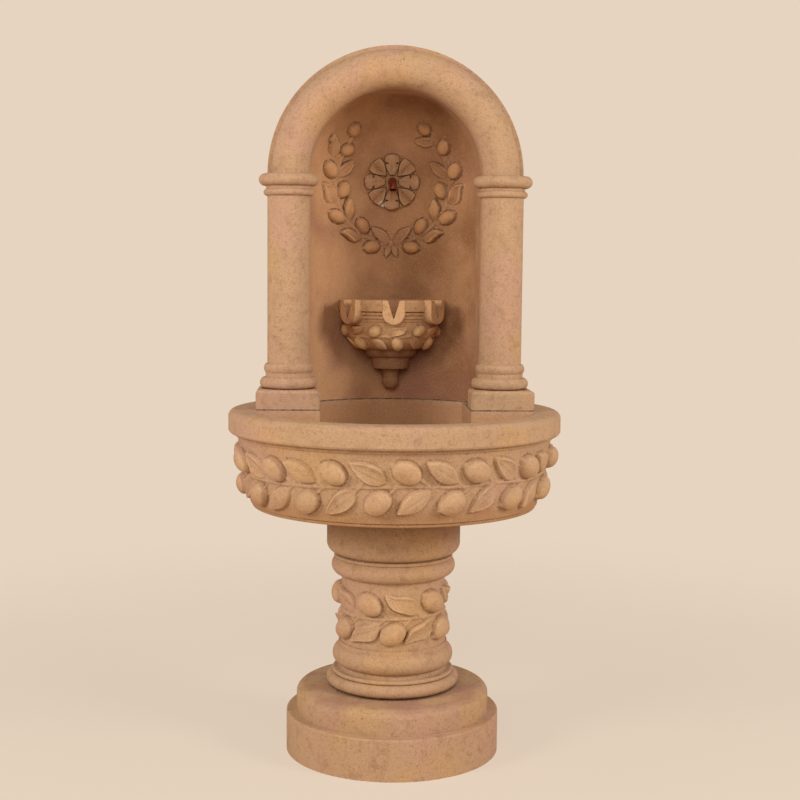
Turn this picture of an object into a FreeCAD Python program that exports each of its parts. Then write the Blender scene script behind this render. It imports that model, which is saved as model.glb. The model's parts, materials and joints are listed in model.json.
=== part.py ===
"""Garden wall fountain in cast stone: a round pedestal carries a D-shaped basin, and an arched niche
with a small spill bowl stands on the basin's rear ledge. A pump in the basin feeds the spout.

Millimetres. Origin on the floor at the pedestal's axis, +Z up, the front faces -Y, the wall is at +Y.
"""
import FreeCAD, Part
import math
import os
from FreeCAD import Matrix, Placement, Rotation, Vector

# Cutting tools run past a face by the overshoot, and a clearing tool is longer than any piece
overshoot = 1.0
clear = 500.0

# Joints between castings
bedding_thickness = 3.0
bedding_inset = 4.0
spigot_radius = 85.0
spigot_height = 12.0
spigot_clearance = 2.0
shaft_bore_radius = 60.0

# Base
base_drum_radius = 231.0
base_drum_height = 88.0
base_tier_radius = 209.0
base_tier_height = 53.0
base_edge_round = 4.0
base_shoulder_round = 17.0
cable_notch_width = 34.0
cable_notch_height = 20.0

# Pedestal, from the foot up
foot_bead_radius = 144.0
foot_bead_height = 27.0
foot_bead_core = 129.0
foot_ring_core = 128.0
foot_ring_radius = 132.0
foot_ring_height = 9.0
foot_neck_radius = 113.0
foot_cove_depth = 9.0
foot_cove_height = 8.0
band_radius = 112.0
band_height = 153.0
lower_bead_radius = 131.0
lower_bead_height = 45.0
upper_bead_radius = 134.0
upper_bead_height = 37.0
upper_bead_seat = 1.0
upper_ring_core = 125.5
upper_ring_radius = 129.0
upper_ring_height = 8.0
collar_radius = 124.0
collar_height = 1.0
collar_undercut = 1.0
cap_cove_height = 2.0
cap_bevel_height = 24.0
cap_radius = 144.5
cap_height = 79.0

# Basin
basin_height = 204.0
basin_lip_radius = 306.0
basin_lip_height = 8.0
basin_lip_swell = 2.0
basin_wall_foot_radius = 309.0
basin_wall_radius = 337.0
rim_radius = 356.0
rim_height = 46.0
rim_inner_radius = 302.0
rim_outer_round = 13.0
rim_inner_round = 6.0
rim_bevel_width = 3.0
rim_bevel_height = 4.0
rim_fillet_height = 8.0
rim_fillet_proud = 4.0
basin_floor_thickness = 45.0
basin_floor_round = 26.0
rear_plane_y = 290.0
drain_radius = 22.0

# Niche back
plinth_width = 136.0
plinth_height = 40.0
plinth_edge_round = 8.0
plinth_front_y = -54.0
plinth_setback = 1.5
column_spacing = 457.0
column_radius = 45.5
column_height = 496.0
arch_roll_radius = 40.0
niche_column_overlap = 2.0
niche_flange = 0.5
niche_depth_y = 225.0
niche_rear_curve = 220.0
niche_side_curve = 90.0
niche_shell = 25.0
slab_thickness = 45.0
slab_setback = 8.0
spine_half_width = 45.0
spine_top_margin = 70.0
chase_half_width = 16.0
chase_depth = 36.0
chase_head = 22.0
base_torus_radius = 61.5
base_torus_height = 24.0
base_torus_inset = 7.2
base_neck_radius = 49.5
base_neck_height = 10.0
base_ring_radius = 53.0
base_ring_height = 19.0
cap_ring_radius = 64.0
cap_ring_height = 25.0
cap_neck_radius = 48.5
cap_neck_height = 7.0
cap_fillet_radius = 54.0
cap_fillet_height = 14.0
locating_pin_radius = 6.0
locating_pin_length = 50.0
pin_clearance = 0.3
pin_end_gap = 1.0
tie_insert_radius = 8.0
tie_insert_length = 24.0

# Carved fruit and leaves
frieze_step = 11.5
frieze_upper_first = 3.0
frieze_lower_first = -6.0
frieze_row_offset = 33.0
frieze_stem_below_rim = 73.0
frieze_stem_radius = 4.0
lemon_length = 60.0
lemon_width = 43.0
lemon_proud = 19.0
lemon_nipple_share = 0.06
lemon_shoulder_share = 0.22
lemon_shoulder_at = 0.4
leaf_length = 76.0
leaf_width = 36.0
leaf_proud = 8.0
leaf_root = 4.0
leaf_edge_share = 0.45
frieze_tilt = 32.0
pedestal_step = 36.0
pedestal_upper_first = -28.0
pedestal_lower_first = -8.0
pedestal_last = 179.0
pedestal_row_offset = 33.0
wreath_radius = 129.0
wreath_drop = 9.0
wreath_pitch = 22.5
wreath_pairs = 6
wreath_first_step = 0.8
wreath_tip_step = 0.5
wreath_offset = 17.0
wreath_lean = 24.0
wreath_fruit_length = 40.0
wreath_fruit_width = 28.0
wreath_fruit_proud = 10.0
wreath_leaf_length = 52.0
wreath_leaf_width = 20.0
wreath_leaf_proud = 4.0

# Spill bowl
bowl_radius = 122.0
bowl_rim_height = 25.0
bowl_rim_round = 5.0
bowl_axis_y = 212.0
bowl_top_z = 975.0
bowl_fillet_radius = 116.0
bowl_fillet_height = 23.0
bowl_bell_radius = 109.0
bowl_bell_height = 65.0
bowl_foot_radius = 58.0
bowl_back_wall = 14.0
bowl_fruit_pitch = 27.0
bowl_fruit_length = 38.0
bowl_fruit_width = 27.0
bowl_leaf_length = 40.0
bowl_leaf_width = 20.0
bowl_leaf_proud = 5.0
bowl_leaf_root = 10.0
bowl_fruit_sink = 6.0
bowl_row_tilt = 30.0
bowl_upper_row_drop = 18.0
bowl_lower_row_drop = 44.0
bowl_motifs_each_side = 3
bowl_wall = 20.0
bowl_cavity_depth = 48.0
bowl_moulding_inset = 9.0
bowl_moulding_height = 18.0
bowl_stem_radius = 45.0
bowl_stem_height = 26.0
bowl_stem_taper = 5.0
bowl_neck_radius = 20.0
bowl_neck_height = 22.0
bowl_neck_taper = 3.0
bowl_bud_radius = 19.0
bowl_bud_height = 26.0
bowl_bud_belly = 0.35
spill_angle = 48.0
spill_width = 50.0
spill_height = 52.0
spill_reach = 136.0
spill_root = 30.0
spill_notch_overlap = 12.0
spill_notch_width = 28.0
spill_notch_foot = 3.0
spill_notch_depth = 40.0
stud_spacing = 100.0
stud_radius = 4.0
stud_drop = 62.0
stud_embed = 35.0
stud_cover = 11.0

# Spout
spout_z = 1241.0
rosette_radius = 64.0
rosette_thickness = 18.0
rosette_petals = 8
petal_radius = 15.0
petal_rise = 8.0
petal_overhang = 3.75
rosette_boss_radius = 17.0
rosette_boss_proud = 2.0
pipe_radius = 9.0
pipe_wall = 1.2
pipe_reach = 38.0
pipe_bend_radius = 18.0
pipe_bend_angle = 70.0
pipe_tip = 9.0
sleeve_radius = 11.5

# Supply hose
hose_radius = 9.5
hose_bore_radius = 6.5
hose_clearance = 3.0
hose_riser_y = 268.0
hose_bend_radius = 40.0
channel_reach = 60.0
barb_length = 22.0
barb_flange = 4.0
clamp_width = 9.0
clamp_thickness = 0.8
clamp_barrel = 6.4
clamp_setback = 6.0
elbow_radius = 11.5
elbow_ball_radius = 13.0
elbow_bore = 5.0
elbow_gap = 0.5
elbow_drop = 6.0
grommet_width = 6.0

# Wall brackets
bracket_z = 1275.0
bracket_height = 50.0
bracket_depth = 40.0
bracket_flange = 44.0
bracket_thickness = 3.0
wall_screw_radius = 4.5
wall_hole_offset = 24.2
bolt_radius = 4.0
bolt_head_flats = 13.0
bolt_head_height = 5.3
bolt_end_gap = 2.0
bolt_setback = 22.0

# Drain
bush_bore_radius = 17.0
bush_flange_radius = 27.0
bush_flange_height = 3.0
bush_lift = 3.0
stopper_clearance = 0.06
stopper_seat_gap = 0.3
stopper_barrel = 24.0
stopper_head_radius = 20.0
stopper_head_height = 8.0
cord_hole_radius = 3.5
pull_lug_x = 8.0
pull_lug_radius = 3.2
pull_lug_height = 8.0
pull_eye_radius = 2.1
pull_eye_rise = 4.0
pull_ring_radius = 9.0
pull_ring_wire = 1.2

# Pump, its rotor axis along X
pump_axis_y = 72.0
pump_axis_above_floor = 36.0
pump_feet_height = 6.0
pump_foot_inset = 6.0
pump_foot_thickness = 8.0
foot_cup_radius = 9.0
foot_top_radius = 5.0
foot_inset = 11.0
foot_spread = 32.0
motor_length = 68.0
motor_width = 56.0
motor_edge_round = 5.0
motor_overlap = 4.0
volute_length = 26.0
volute_radius = 25.0
chamber_radius = 21.5
outlet_radius = 9.0
outlet_bore = 5.0
rotor_magnet_radius = 14.0
rotor_magnet_length = 51.5
rotor_clearance = 0.8
rotor_end_gap = 1.5
impeller_radius = 19.0
impeller_length = 12.0
impeller_hub_radius = 6.0
impeller_plate = 2.0
impeller_vanes = 6
vane_thickness = 2.0
pump_shaft_radius = 2.0
shaft_clearance = 0.05
shaft_seat_depth = 6.0
shaft_end_gap = 1.0
cover_wall = 2.5
cover_skin = 0.5
cover_hub_radius = 4.5
intake_eye_radius = 11.0
spoke_width = 2.4
screen_length = 24.0
screen_wall = 3.0
screen_grip = 3.5
screen_clearance = 0.05
screen_slots = 12
screen_slot_width = 3.0
screen_slot_margin = 5.0
screen_foot_gap = 0.3
inlet_radius = 6.0
regulator_radius = 12.0
dial_thickness = 3.0
dial_gap = 0.3
dial_clearance = 0.05
dial_rib_height = 3.7
dial_rib_width = 3.0
dial_rib_length = 18.0
dial_hole_radius = 1.8
dial_hole_offset = 3.6
gland_rise = 12.0
gland_radius = 7.0
gland_collar_length = 6.0
gland_sleeve_radius = 6.0
gland_tip_radius = 4.5
gland_sleeve_length = 14.0

# Worked out from the values above
base_top_z = base_drum_height + base_tier_height
pedestal_z = base_top_z + bedding_thickness
pedestal_height = (foot_bead_height + foot_ring_height + foot_cove_height + lower_bead_height + band_height
                   + upper_bead_height + upper_ring_height + collar_height + cap_cove_height
                   + cap_bevel_height + cap_height)
pedestal_top_z = pedestal_z + pedestal_height
basin_z = pedestal_top_z + bedding_thickness
basin_top_z = basin_z + basin_height
basin_floor_z = basin_z + basin_floor_thickness
niche_z = basin_top_z + bedding_thickness
springing_z = niche_z + column_height
arch_radius = column_spacing / 2
niche_half_width = arch_radius - column_radius + niche_column_overlap
column_y = plinth_front_y + plinth_setback + plinth_width / 2
pier_inner_x = arch_radius - plinth_width / 2
frieze_stem_z = basin_top_z - rim_height - frieze_stem_below_rim
wall_top_z = basin_top_z - rim_height - rim_fillet_height
pump_z = basin_floor_z + pump_axis_above_floor
outlet_z = pump_z + chamber_radius - hose_bore_radius
pump_sole_z = basin_floor_z + pump_feet_height
volute_x0 = -volute_length / 2
volute_x1 = volute_length / 2
motor_x1 = volute_x1 + motor_length
chamber_x0 = volute_x0 + cover_wall
impeller_x0 = chamber_x0 + rotor_end_gap
impeller_x1 = impeller_x0 + impeller_length
magnet_x1 = impeller_x1 + rotor_magnet_length
well_x1 = magnet_x1 + rotor_end_gap
shaft_x0 = volute_x0 + cover_skin
rotor_bore_radius = pump_shaft_radius + shaft_clearance
screen_x0 = volute_x0 - screen_length
dial_x0 = screen_x0 - dial_gap - dial_thickness
lower_bead_z = pedestal_z + foot_bead_height + foot_ring_height + foot_cove_height
band_z = lower_bead_z + lower_bead_height
hose_top_z = spout_z - elbow_radius - elbow_drop
chase_front_y = rear_plane_y - chase_depth
shell_rear_y = niche_depth_y + niche_shell
slab_front_y = column_y + slab_setback
wall_plane = rear_plane_y
wreath_z = spout_z - wreath_drop
stud_z = bowl_top_z - stud_drop
channel_start_y = niche_depth_y - channel_reach
pipe_rear_y = hose_riser_y - elbow_bore - 1.0
hose_start_y = pump_axis_y + volute_radius + barb_flange
bracket_bolt_y = wall_plane - bolt_setback
wall_hole_x = spine_half_width + wall_hole_offset
bush_z = basin_z + spigot_height + spigot_clearance + bush_lift
stopper_top_z = basin_floor_z + bush_flange_height + stopper_seat_gap + stopper_head_height
pull_eye_z = stopper_top_z + pull_eye_rise

X = Vector(1, 0, 0)
Y = Vector(0, 1, 0)
Z = Vector(0, 0, 1)


class Outline:
    """A closed outline in radius and height, drawn point by point and turned about an axis."""

    def __init__(self, r, z):
        self.start = self.at = Vector(r, 0, z)
        self.edges = []

    def line(self, r, z):
        end = Vector(r, 0, z)
        if (end - self.at).Length > 1e-6:
            self.edges.append(Part.LineSegment(self.at, end).toShape())
            self.at = end
        return self

    def arc(self, via_r, via_z, r, z):
        end = Vector(r, 0, z)
        self.edges.append(Part.Arc(self.at, Vector(via_r, 0, via_z), end).toShape())
        self.at = end
        return self

    def quarter(self, r, z, hollow=False):
        """A quarter of an ellipse-like curve to r, z: bulging outwards, or hollow for a cove."""
        r0, z0 = self.at.x, self.at.z
        bend = math.sqrt(0.5)
        if (abs(r) > abs(r0)) != hollow:
            return self.arc(r0 + (r - r0) * bend, z0 + (z - z0) * (1 - bend), r, z)
        return self.arc(r0 + (r - r0) * (1 - bend), z0 + (z - z0) * bend, r, z)

    def bead(self, out_r, rise):
        """A round bead that swells out to out_r while it rises, and comes back to the same radius."""
        r, z = self.at.x, self.at.z
        return self.arc(out_r, z + rise / 2, r, z + rise)

    def solid(self, centre=Vector(0, 0, 0)):
        self.line(self.start.x, self.start.z)
        face = Part.Face(Part.Wire(self.edges))
        turned = face.revolve(Vector(0, 0, 0), Z, 360)
        turned.translate(centre)
        return turned


def cylinder(radius, height, at, along=Z):
    return Part.makeCylinder(radius, height, at, along)


def box(low, high):
    return Part.makeBox(high.x - low.x, high.y - low.y, high.z - low.z, low)


def ring(outer, inner, height, at, along=Z):
    return cylinder(outer, height, at, along).cut(cylinder(inner, height, at, along))


def hexagon(across_flats, height, at, along=Y):
    """A hexagonal prism whose first face starts at a point and runs along an axis."""
    corner = across_flats / math.sqrt(3)
    points = [Vector(corner * math.cos(math.radians(60 * k)), corner * math.sin(math.radians(60 * k)), 0)
              for k in range(7)]
    prism = Part.Face(Part.makePolygon(points)).extrude(Vector(0, 0, height))
    prism.Placement = Placement(at, Rotation(Z, along))
    return prism


def lemon(length, width):
    """A lemon about the X axis: a blunt nipple at -X, a swollen middle and a pointed stalk end at +X."""
    foot, stalk = Vector(-length / 2, 0, 0), Vector(length / 2, 0, 0)
    nipple = Vector(-length / 2, 0, lemon_nipple_share * width)
    shoulder = Vector(-lemon_shoulder_at * length, 0, lemon_shoulder_share * width)
    edges = [Part.LineSegment(foot, nipple).toShape(),
             Part.LineSegment(nipple, shoulder).toShape(),
             Part.Arc(shoulder, Vector(0, 0, width / 2), stalk).toShape(),
             Part.LineSegment(stalk, foot).toShape()]
    return Part.Face(Part.Wire(edges)).revolve(Vector(0, 0, 0), X, 360)


def leaf(length, width, proud, root):
    """A pointed leaf along X, proud of the XY plane and rooted below it, and highest at its midrib."""
    left, right = Vector(-length / 2, 0, 0), Vector(length / 2, 0, 0)
    outline = [Part.Arc(left, Vector(0, width / 2, 0), right).toShape(),
               Part.Arc(right, Vector(0, -width / 2, 0), left).toShape()]
    blade = Part.Face(Part.Wire(outline))
    blade.translate(Vector(0, 0, -root))
    blade = blade.extrude(Vector(0, 0, root + proud))
    edge_height = proud * leaf_edge_share
    roof_points = [Vector(-length, -width, -root), Vector(-length, width, -root), Vector(-length, width, 0),
                   Vector(-length, width / 2, edge_height), Vector(-length, 0, proud),
                   Vector(-length, -width / 2, edge_height), Vector(-length, -width, 0),
                   Vector(-length, -width, -root)]
    roof = Part.Face(Part.makePolygon(roof_points)).extrude(Vector(2 * length, 0, 0))
    return blade.common(roof)


def laid(shape, point, normal, along, tilt):
    """Lays a motif on a surface at a point: normal leaves the surface, tilt turns it away from along."""
    t = math.radians(tilt)
    x_axis = along * math.cos(t) + normal.cross(along) * math.sin(t)
    y_axis = normal.cross(x_axis)
    frame = Matrix(x_axis.x, y_axis.x, normal.x, point.x,
                   x_axis.y, y_axis.y, normal.y, point.y,
                   x_axis.z, y_axis.z, normal.z, point.z,
                   0, 0, 0, 1)
    placed = shape.copy()
    placed.Placement = Placement(frame).multiply(placed.Placement)
    return placed


def on_wall(shape, angle, z, radius, tilt, centre_y=0.0):
    """Lays a motif on a round wall, at an angle from the front that is positive towards +X."""
    a = math.radians(angle)
    normal = Vector(math.sin(a), -math.cos(a), 0)
    point = Vector(0, centre_y, z) + normal * radius
    return laid(shape, point, normal, Vector(math.cos(a), math.sin(a), 0), tilt)


def niche_centres():
    """The two centres of the niche's plan: of the wide rear curve, and of the tighter one at each side."""
    rear_y = niche_depth_y - niche_rear_curve
    side_x = niche_half_width - niche_side_curve
    gap = niche_rear_curve - niche_side_curve
    return rear_y, side_x, rear_y + math.sqrt(gap ** 2 - side_x ** 2)


def niche_wall(reach):
    """Depth of the niche's wall at a distance from its middle, and the two shares of its normal there."""
    rear_y, side_x, side_y = niche_centres()
    if reach * (side_y - rear_y) <= side_x * math.sqrt(niche_rear_curve ** 2 - reach ** 2):
        depth = math.sqrt(niche_rear_curve ** 2 - reach ** 2)
        return rear_y + depth, reach / niche_rear_curve, depth / niche_rear_curve
    depth = math.sqrt(niche_side_curve ** 2 - (reach - side_x) ** 2)
    return side_y + depth, (reach - side_x) / niche_side_curve, depth / niche_side_curve


def in_niche(shape, x, z, tilt):
    """Lays a motif on the niche's hollow wall or its dome, seen from the front at x and z."""
    rise = max(0.0, z - springing_z)
    reach = math.hypot(x, rise)
    y, outwards, rearwards = niche_wall(reach)
    normal = Vector(-outwards * x / reach, -rearwards, -outwards * rise / reach)
    along = (X - normal * X.dot(normal)).normalize()
    return laid(shape, Vector(x, y, z), normal, along, tilt)


def fruit_row(radius_at, z, first, step, last_angle, tilt):
    """Lemons and leaves in turn along one side of a stem, from the front round both ways."""
    fruit = lemon(lemon_length, lemon_width)
    fruit.translate(Vector(0, 0, lemon_proud - lemon_width / 2))
    blade = leaf(leaf_length, leaf_width, leaf_proud, leaf_root)
    motifs = []
    for k in range(-int((first + last_angle) // step), int((last_angle - first) // step) + 1):
        motifs.append(on_wall(blade if k % 2 else fruit, first + k * step, z, radius_at(z), tilt))
    return motifs


def spigot(z):
    """The raised ring on a casting's top that the next casting's recess drops over."""
    return ring(spigot_radius, shaft_bore_radius, spigot_height, Vector(0, 0, z))


def spigot_recess(z):
    depth = spigot_height + spigot_clearance - bedding_thickness
    return cylinder(spigot_radius + spigot_clearance, depth, Vector(0, 0, z))


def bedding_ring(z, outer):
    return ring(outer, spigot_radius + spigot_clearance + bedding_inset, bedding_thickness, Vector(0, 0, z))


def make_base():
    drum = Outline(shaft_bore_radius, 0).line(base_drum_radius, 0)
    drum.line(base_drum_radius, base_drum_height - base_edge_round)
    drum.quarter(base_drum_radius - base_edge_round, base_drum_height)
    drum.line(base_tier_radius, base_drum_height)
    drum.line(base_tier_radius, base_top_z - base_shoulder_round)
    drum.quarter(base_tier_radius - base_shoulder_round, base_top_z)
    drum.line(shaft_bore_radius, base_top_z)
    body = drum.solid()
    notch = box(Vector(-cable_notch_width / 2, 0, -overshoot),
                Vector(cable_notch_width / 2, clear, cable_notch_height))
    return body.cut(notch).fuse(spigot(base_top_z))


def make_pedestal():
    z = pedestal_z
    turned = Outline(shaft_bore_radius, z).line(foot_bead_core, z)
    turned.bead(foot_bead_radius, foot_bead_height)
    z += foot_bead_height
    turned.line(foot_ring_core, z)
    turned.bead(foot_ring_radius, foot_ring_height)
    z += foot_ring_height
    turned.line(foot_neck_radius + foot_cove_depth, z)
    turned.quarter(foot_neck_radius, z + foot_cove_height, hollow=True)
    turned.bead(lower_bead_radius, lower_bead_height)
    turned.line(band_radius, band_z)
    z = band_z + band_height
    turned.line(band_radius, z)
    turned.line(band_radius + upper_bead_seat, z)
    turned.arc(upper_bead_radius, z + upper_bead_height / 2, upper_ring_core, z + upper_bead_height)
    z += upper_bead_height
    turned.bead(upper_ring_radius, upper_ring_height)
    z += upper_ring_height
    turned.line(collar_radius, z)
    z += collar_height
    turned.line(collar_radius, z)
    turned.line(collar_radius - collar_undercut, z)
    turned.quarter(collar_radius, z + cap_cove_height, hollow=True)
    z += cap_cove_height
    turned.quarter(cap_radius, z + cap_bevel_height)
    turned.line(cap_radius, pedestal_top_z)
    turned.line(shaft_bore_radius, pedestal_top_z)
    body = turned.solid().cut(spigot_recess(pedestal_z))
    stem_z = band_z + band_height / 2
    stem = Part.makeTorus(band_radius, frieze_stem_radius, Vector(0, 0, stem_z))
    rows = []
    for side, first in ((1, pedestal_upper_first), (-1, pedestal_lower_first)):
        rows += fruit_row(lambda z: band_radius, stem_z + side * pedestal_row_offset, first, pedestal_step,
                          pedestal_last, -side * frieze_tilt)
    return body.fuse([spigot(pedestal_top_z), stem] + rows)


def basin_wall_at(z):
    """The frieze wall's radius at a height: it leans out a little towards the rim."""
    share = (z - basin_z - basin_lip_height) / (wall_top_z - basin_z - basin_lip_height)
    return basin_wall_foot_radius + (basin_wall_radius - basin_wall_foot_radius) * share


def basin_cavity():
    """The water's space: round in front, and between the two piers it reaches back to the niche's curve."""
    low, high = basin_floor_z, basin_top_z + overshoot
    bowl = Outline(0, low).line(rim_inner_radius - basin_floor_round, low)
    bowl.quarter(rim_inner_radius, low + basin_floor_round)
    bowl.line(rim_inner_radius, basin_top_z - rim_inner_round)
    bowl.quarter(rim_inner_radius + rim_inner_round, basin_top_z, hollow=True)
    bowl.line(rim_inner_radius + rim_inner_round, high).line(0, high)
    front = bowl.solid().common(box(Vector(-clear, -clear, 0), Vector(clear, plinth_front_y, 2 * high)))
    between = box(Vector(-pier_inner_x, plinth_front_y - overshoot, low),
                  Vector(pier_inner_x, rear_plane_y, high))
    between = between.common(niche_shaft(0, plinth_front_y - 2 * overshoot, low, high))
    return front.fuse(between)


def hose_path(start_y):
    """The hose's centre line: back from the pump, up in one bend, and straight up behind the niche."""
    bend_start = hose_riser_y - hose_bend_radius
    bend_z = outlet_z + hose_bend_radius
    corner = hose_bend_radius * (1 - math.sqrt(0.5))
    run = Part.LineSegment(Vector(0, start_y, outlet_z), Vector(0, bend_start, outlet_z))
    bend = Part.Arc(Vector(0, bend_start, outlet_z), Vector(0, hose_riser_y - corner, outlet_z + corner),
                    Vector(0, hose_riser_y, bend_z))
    riser = Part.LineSegment(Vector(0, hose_riser_y, bend_z), Vector(0, hose_riser_y, hose_top_z))
    return Part.Wire([run.toShape(), bend.toShape(), riser.toShape()])


def pipe_along(path, start, direction, radius):
    profile = Part.Wire(Part.makeCircle(radius, start, direction))
    return path.makePipeShell([profile], True, True)


def make_basin():
    wall = Outline(0, basin_z).line(basin_lip_radius - basin_lip_swell, basin_z)
    wall.bead(basin_lip_radius, basin_lip_height)
    wall.line(basin_wall_foot_radius, basin_z + basin_lip_height)
    wall.line(basin_wall_radius, wall_top_z)
    wall.line(basin_wall_radius + rim_fillet_proud, wall_top_z)
    wall.line(basin_wall_radius + rim_fillet_proud, basin_top_z - rim_height)
    wall.line(rim_radius - rim_bevel_width, basin_top_z - rim_height)
    wall.line(rim_radius, basin_top_z - rim_height + rim_bevel_height)
    wall.line(rim_radius, basin_top_z - rim_outer_round)
    wall.quarter(rim_radius - rim_outer_round, basin_top_z)
    wall.line(0, basin_top_z)
    body = wall.solid()
    rear_angle = math.degrees(math.acos(rear_plane_y / basin_wall_radius))
    last_angle = 180 - rear_angle - math.degrees(leaf_length / 2 / basin_wall_radius)
    stem = Part.makeTorus(basin_wall_at(frieze_stem_z), frieze_stem_radius, Vector(0, 0, frieze_stem_z))
    rows = []
    for side, first in ((1, frieze_upper_first), (-1, frieze_lower_first)):
        rows += fruit_row(basin_wall_at, frieze_stem_z + side * frieze_row_offset, first, frieze_step,
                          last_angle, -side * frieze_tilt)
    body = body.fuse([stem] + rows)
    body = body.cut(box(Vector(-clear, rear_plane_y, 0), Vector(clear, clear, 2 * basin_top_z)))
    body = body.cut(basin_cavity()).cut(spigot_recess(basin_z))
    body = body.cut(cylinder(drain_radius, clear, Vector(0, 0, basin_z - overshoot)))
    body = body.cut([pin_hole(side, basin_top_z - locating_pin_length / 2, basin_top_z + overshoot)
                     for side in (-1, 1)])
    return body.cut(hose_solid(hose_radius + hose_clearance, channel_start_y))


def arch_prism(half_width, low_z, centre_z, front_y, rear_y):
    """An upright prism with a half-round top, such as the niche's opening or its slab."""
    left, right = Vector(-half_width, front_y, low_z), Vector(half_width, front_y, low_z)
    left_top, right_top = Vector(-half_width, front_y, centre_z), Vector(half_width, front_y, centre_z)
    crown = Vector(0, front_y, centre_z + half_width)
    edges = [Part.LineSegment(left, right).toShape(),
             Part.LineSegment(right, right_top).toShape(),
             Part.Arc(right_top, crown, left_top).toShape(),
             Part.LineSegment(left_top, left).toShape()]
    return Part.Face(Part.Wire(edges)).extrude(Vector(0, rear_y - front_y, 0))


def niche_half_plan(margin, front_y):
    """Half of the niche's plan in the XY plane, grown by a margin: a straight side and two curves."""
    rear_y, side_x, side_y = niche_centres()
    side_radius, rear_radius = niche_side_curve + margin, niche_rear_curve + margin
    turn = math.atan2(side_y - rear_y, side_x)
    corner = Vector(side_x + side_radius * math.cos(turn), side_y + side_radius * math.sin(turn), 0)
    side_middle = Vector(side_x + side_radius * math.cos(turn / 2),
                         side_y + side_radius * math.sin(turn / 2), 0)
    rest = (turn + math.pi / 2) / 2
    rear_middle = Vector(rear_radius * math.cos(rest), rear_y + rear_radius * math.sin(rest), 0)
    deepest = Vector(0, rear_y + rear_radius, 0)
    front, front_corner = Vector(0, front_y, 0), Vector(side_x + side_radius, front_y, 0)
    side_end = Vector(side_x + side_radius, side_y, 0)
    edges = [Part.LineSegment(front, front_corner).toShape(),
             Part.LineSegment(front_corner, side_end).toShape(),
             Part.Arc(side_end, side_middle, corner).toShape(),
             Part.Arc(corner, rear_middle, deepest).toShape(),
             Part.LineSegment(deepest, front).toShape()]
    return Part.Face(Part.Wire(edges))


def niche_shaft(margin, front_y, low_z, high_z):
    """An upright shaft of the niche's whole plan."""
    half = niche_half_plan(margin, front_y).extrude(Vector(0, 0, high_z - low_z))
    half.translate(Vector(0, 0, low_z))
    return half.fuse(half.mirror(Vector(0, 0, 0), X)).removeSplitter()


def niche_space(margin, front_y, low_z):
    """The niche's space, grown by a margin: a shaft of its plan, and its plan turned for the dome."""
    dome = niche_half_plan(margin, front_y).revolve(Vector(0, 0, 0), Y, -180)
    dome.translate(Vector(0, 0, springing_z))
    return niche_shaft(margin, front_y, low_z, springing_z).fuse(dome).removeSplitter()


def make_column(side):
    """One column on its square plinth, up to the springing line."""
    x = side * arch_radius
    half = plinth_width / 2
    plinth = box(Vector(x - half, column_y - half, niche_z),
                 Vector(x + half, column_y + half, niche_z + plinth_height))
    upper_edges = [e for e in plinth.Edges if e.BoundBox.ZMax > niche_z + overshoot]
    plinth = plinth.makeFillet(plinth_edge_round, upper_edges)
    z = niche_z + plinth_height
    turned = Outline(0, z - overshoot).line(column_radius, z - overshoot)
    turned.line(base_torus_radius - base_torus_inset, z)
    turned.bead(base_torus_radius, base_torus_height)
    z += base_torus_height
    turned.line(base_neck_radius, z).line(base_neck_radius, z + base_neck_height)
    z += base_neck_height
    turned.bead(base_ring_radius, base_ring_height)
    z += base_ring_height
    turned.line(column_radius, z)
    z = springing_z - cap_ring_height - cap_neck_height - cap_fillet_height
    turned.line(column_radius, z).line(cap_neck_radius, z)
    turned.bead(cap_fillet_radius, cap_fillet_height)
    z += cap_fillet_height
    turned.line(cap_neck_radius, z + cap_neck_height)
    z += cap_neck_height
    turned.bead(cap_ring_radius, cap_ring_height)
    turned.line(column_radius, springing_z).line(0, springing_z)
    return plinth.fuse(turned.solid(Vector(x, column_y, 0)))


def make_wreath():
    """Two branches from a foot below the rosette, fruit and leaves in turn on either side of the stem."""
    fruit = lemon(wreath_fruit_length, wreath_fruit_width)
    fruit.translate(Vector(0, 0, wreath_fruit_proud - wreath_fruit_width / 2))
    blade = leaf(wreath_leaf_length, wreath_leaf_width, wreath_leaf_proud, leaf_root)
    motifs = []

    def lay(shape, side, steps, offset, lean):
        degrees = wreath_pitch * steps
        reach = wreath_radius + offset
        x = side * reach * math.sin(math.radians(degrees))
        z = wreath_z - reach * math.cos(math.radians(degrees))
        motifs.append(in_niche(shape, x, z, 270 - side * (90 - degrees) - side * lean))

    for side in (-1, 1):
        for k in range(wreath_pairs):
            out = 1 if k % 2 == 0 else -1
            lay(fruit, side, k + wreath_first_step, out * wreath_offset, out * wreath_lean)
            lay(blade, side, k + wreath_first_step, -out * wreath_offset, -out * wreath_lean)
        lay(fruit, side, wreath_pairs + wreath_tip_step, 0, 0)
    return motifs


def pin_hole(side, low_z, high_z):
    """The drilled hole for one locating pin between basin and niche."""
    return cylinder(locating_pin_radius + pin_clearance, high_z - low_z,
                    Vector(side * arch_radius, column_y, low_z))


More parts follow.
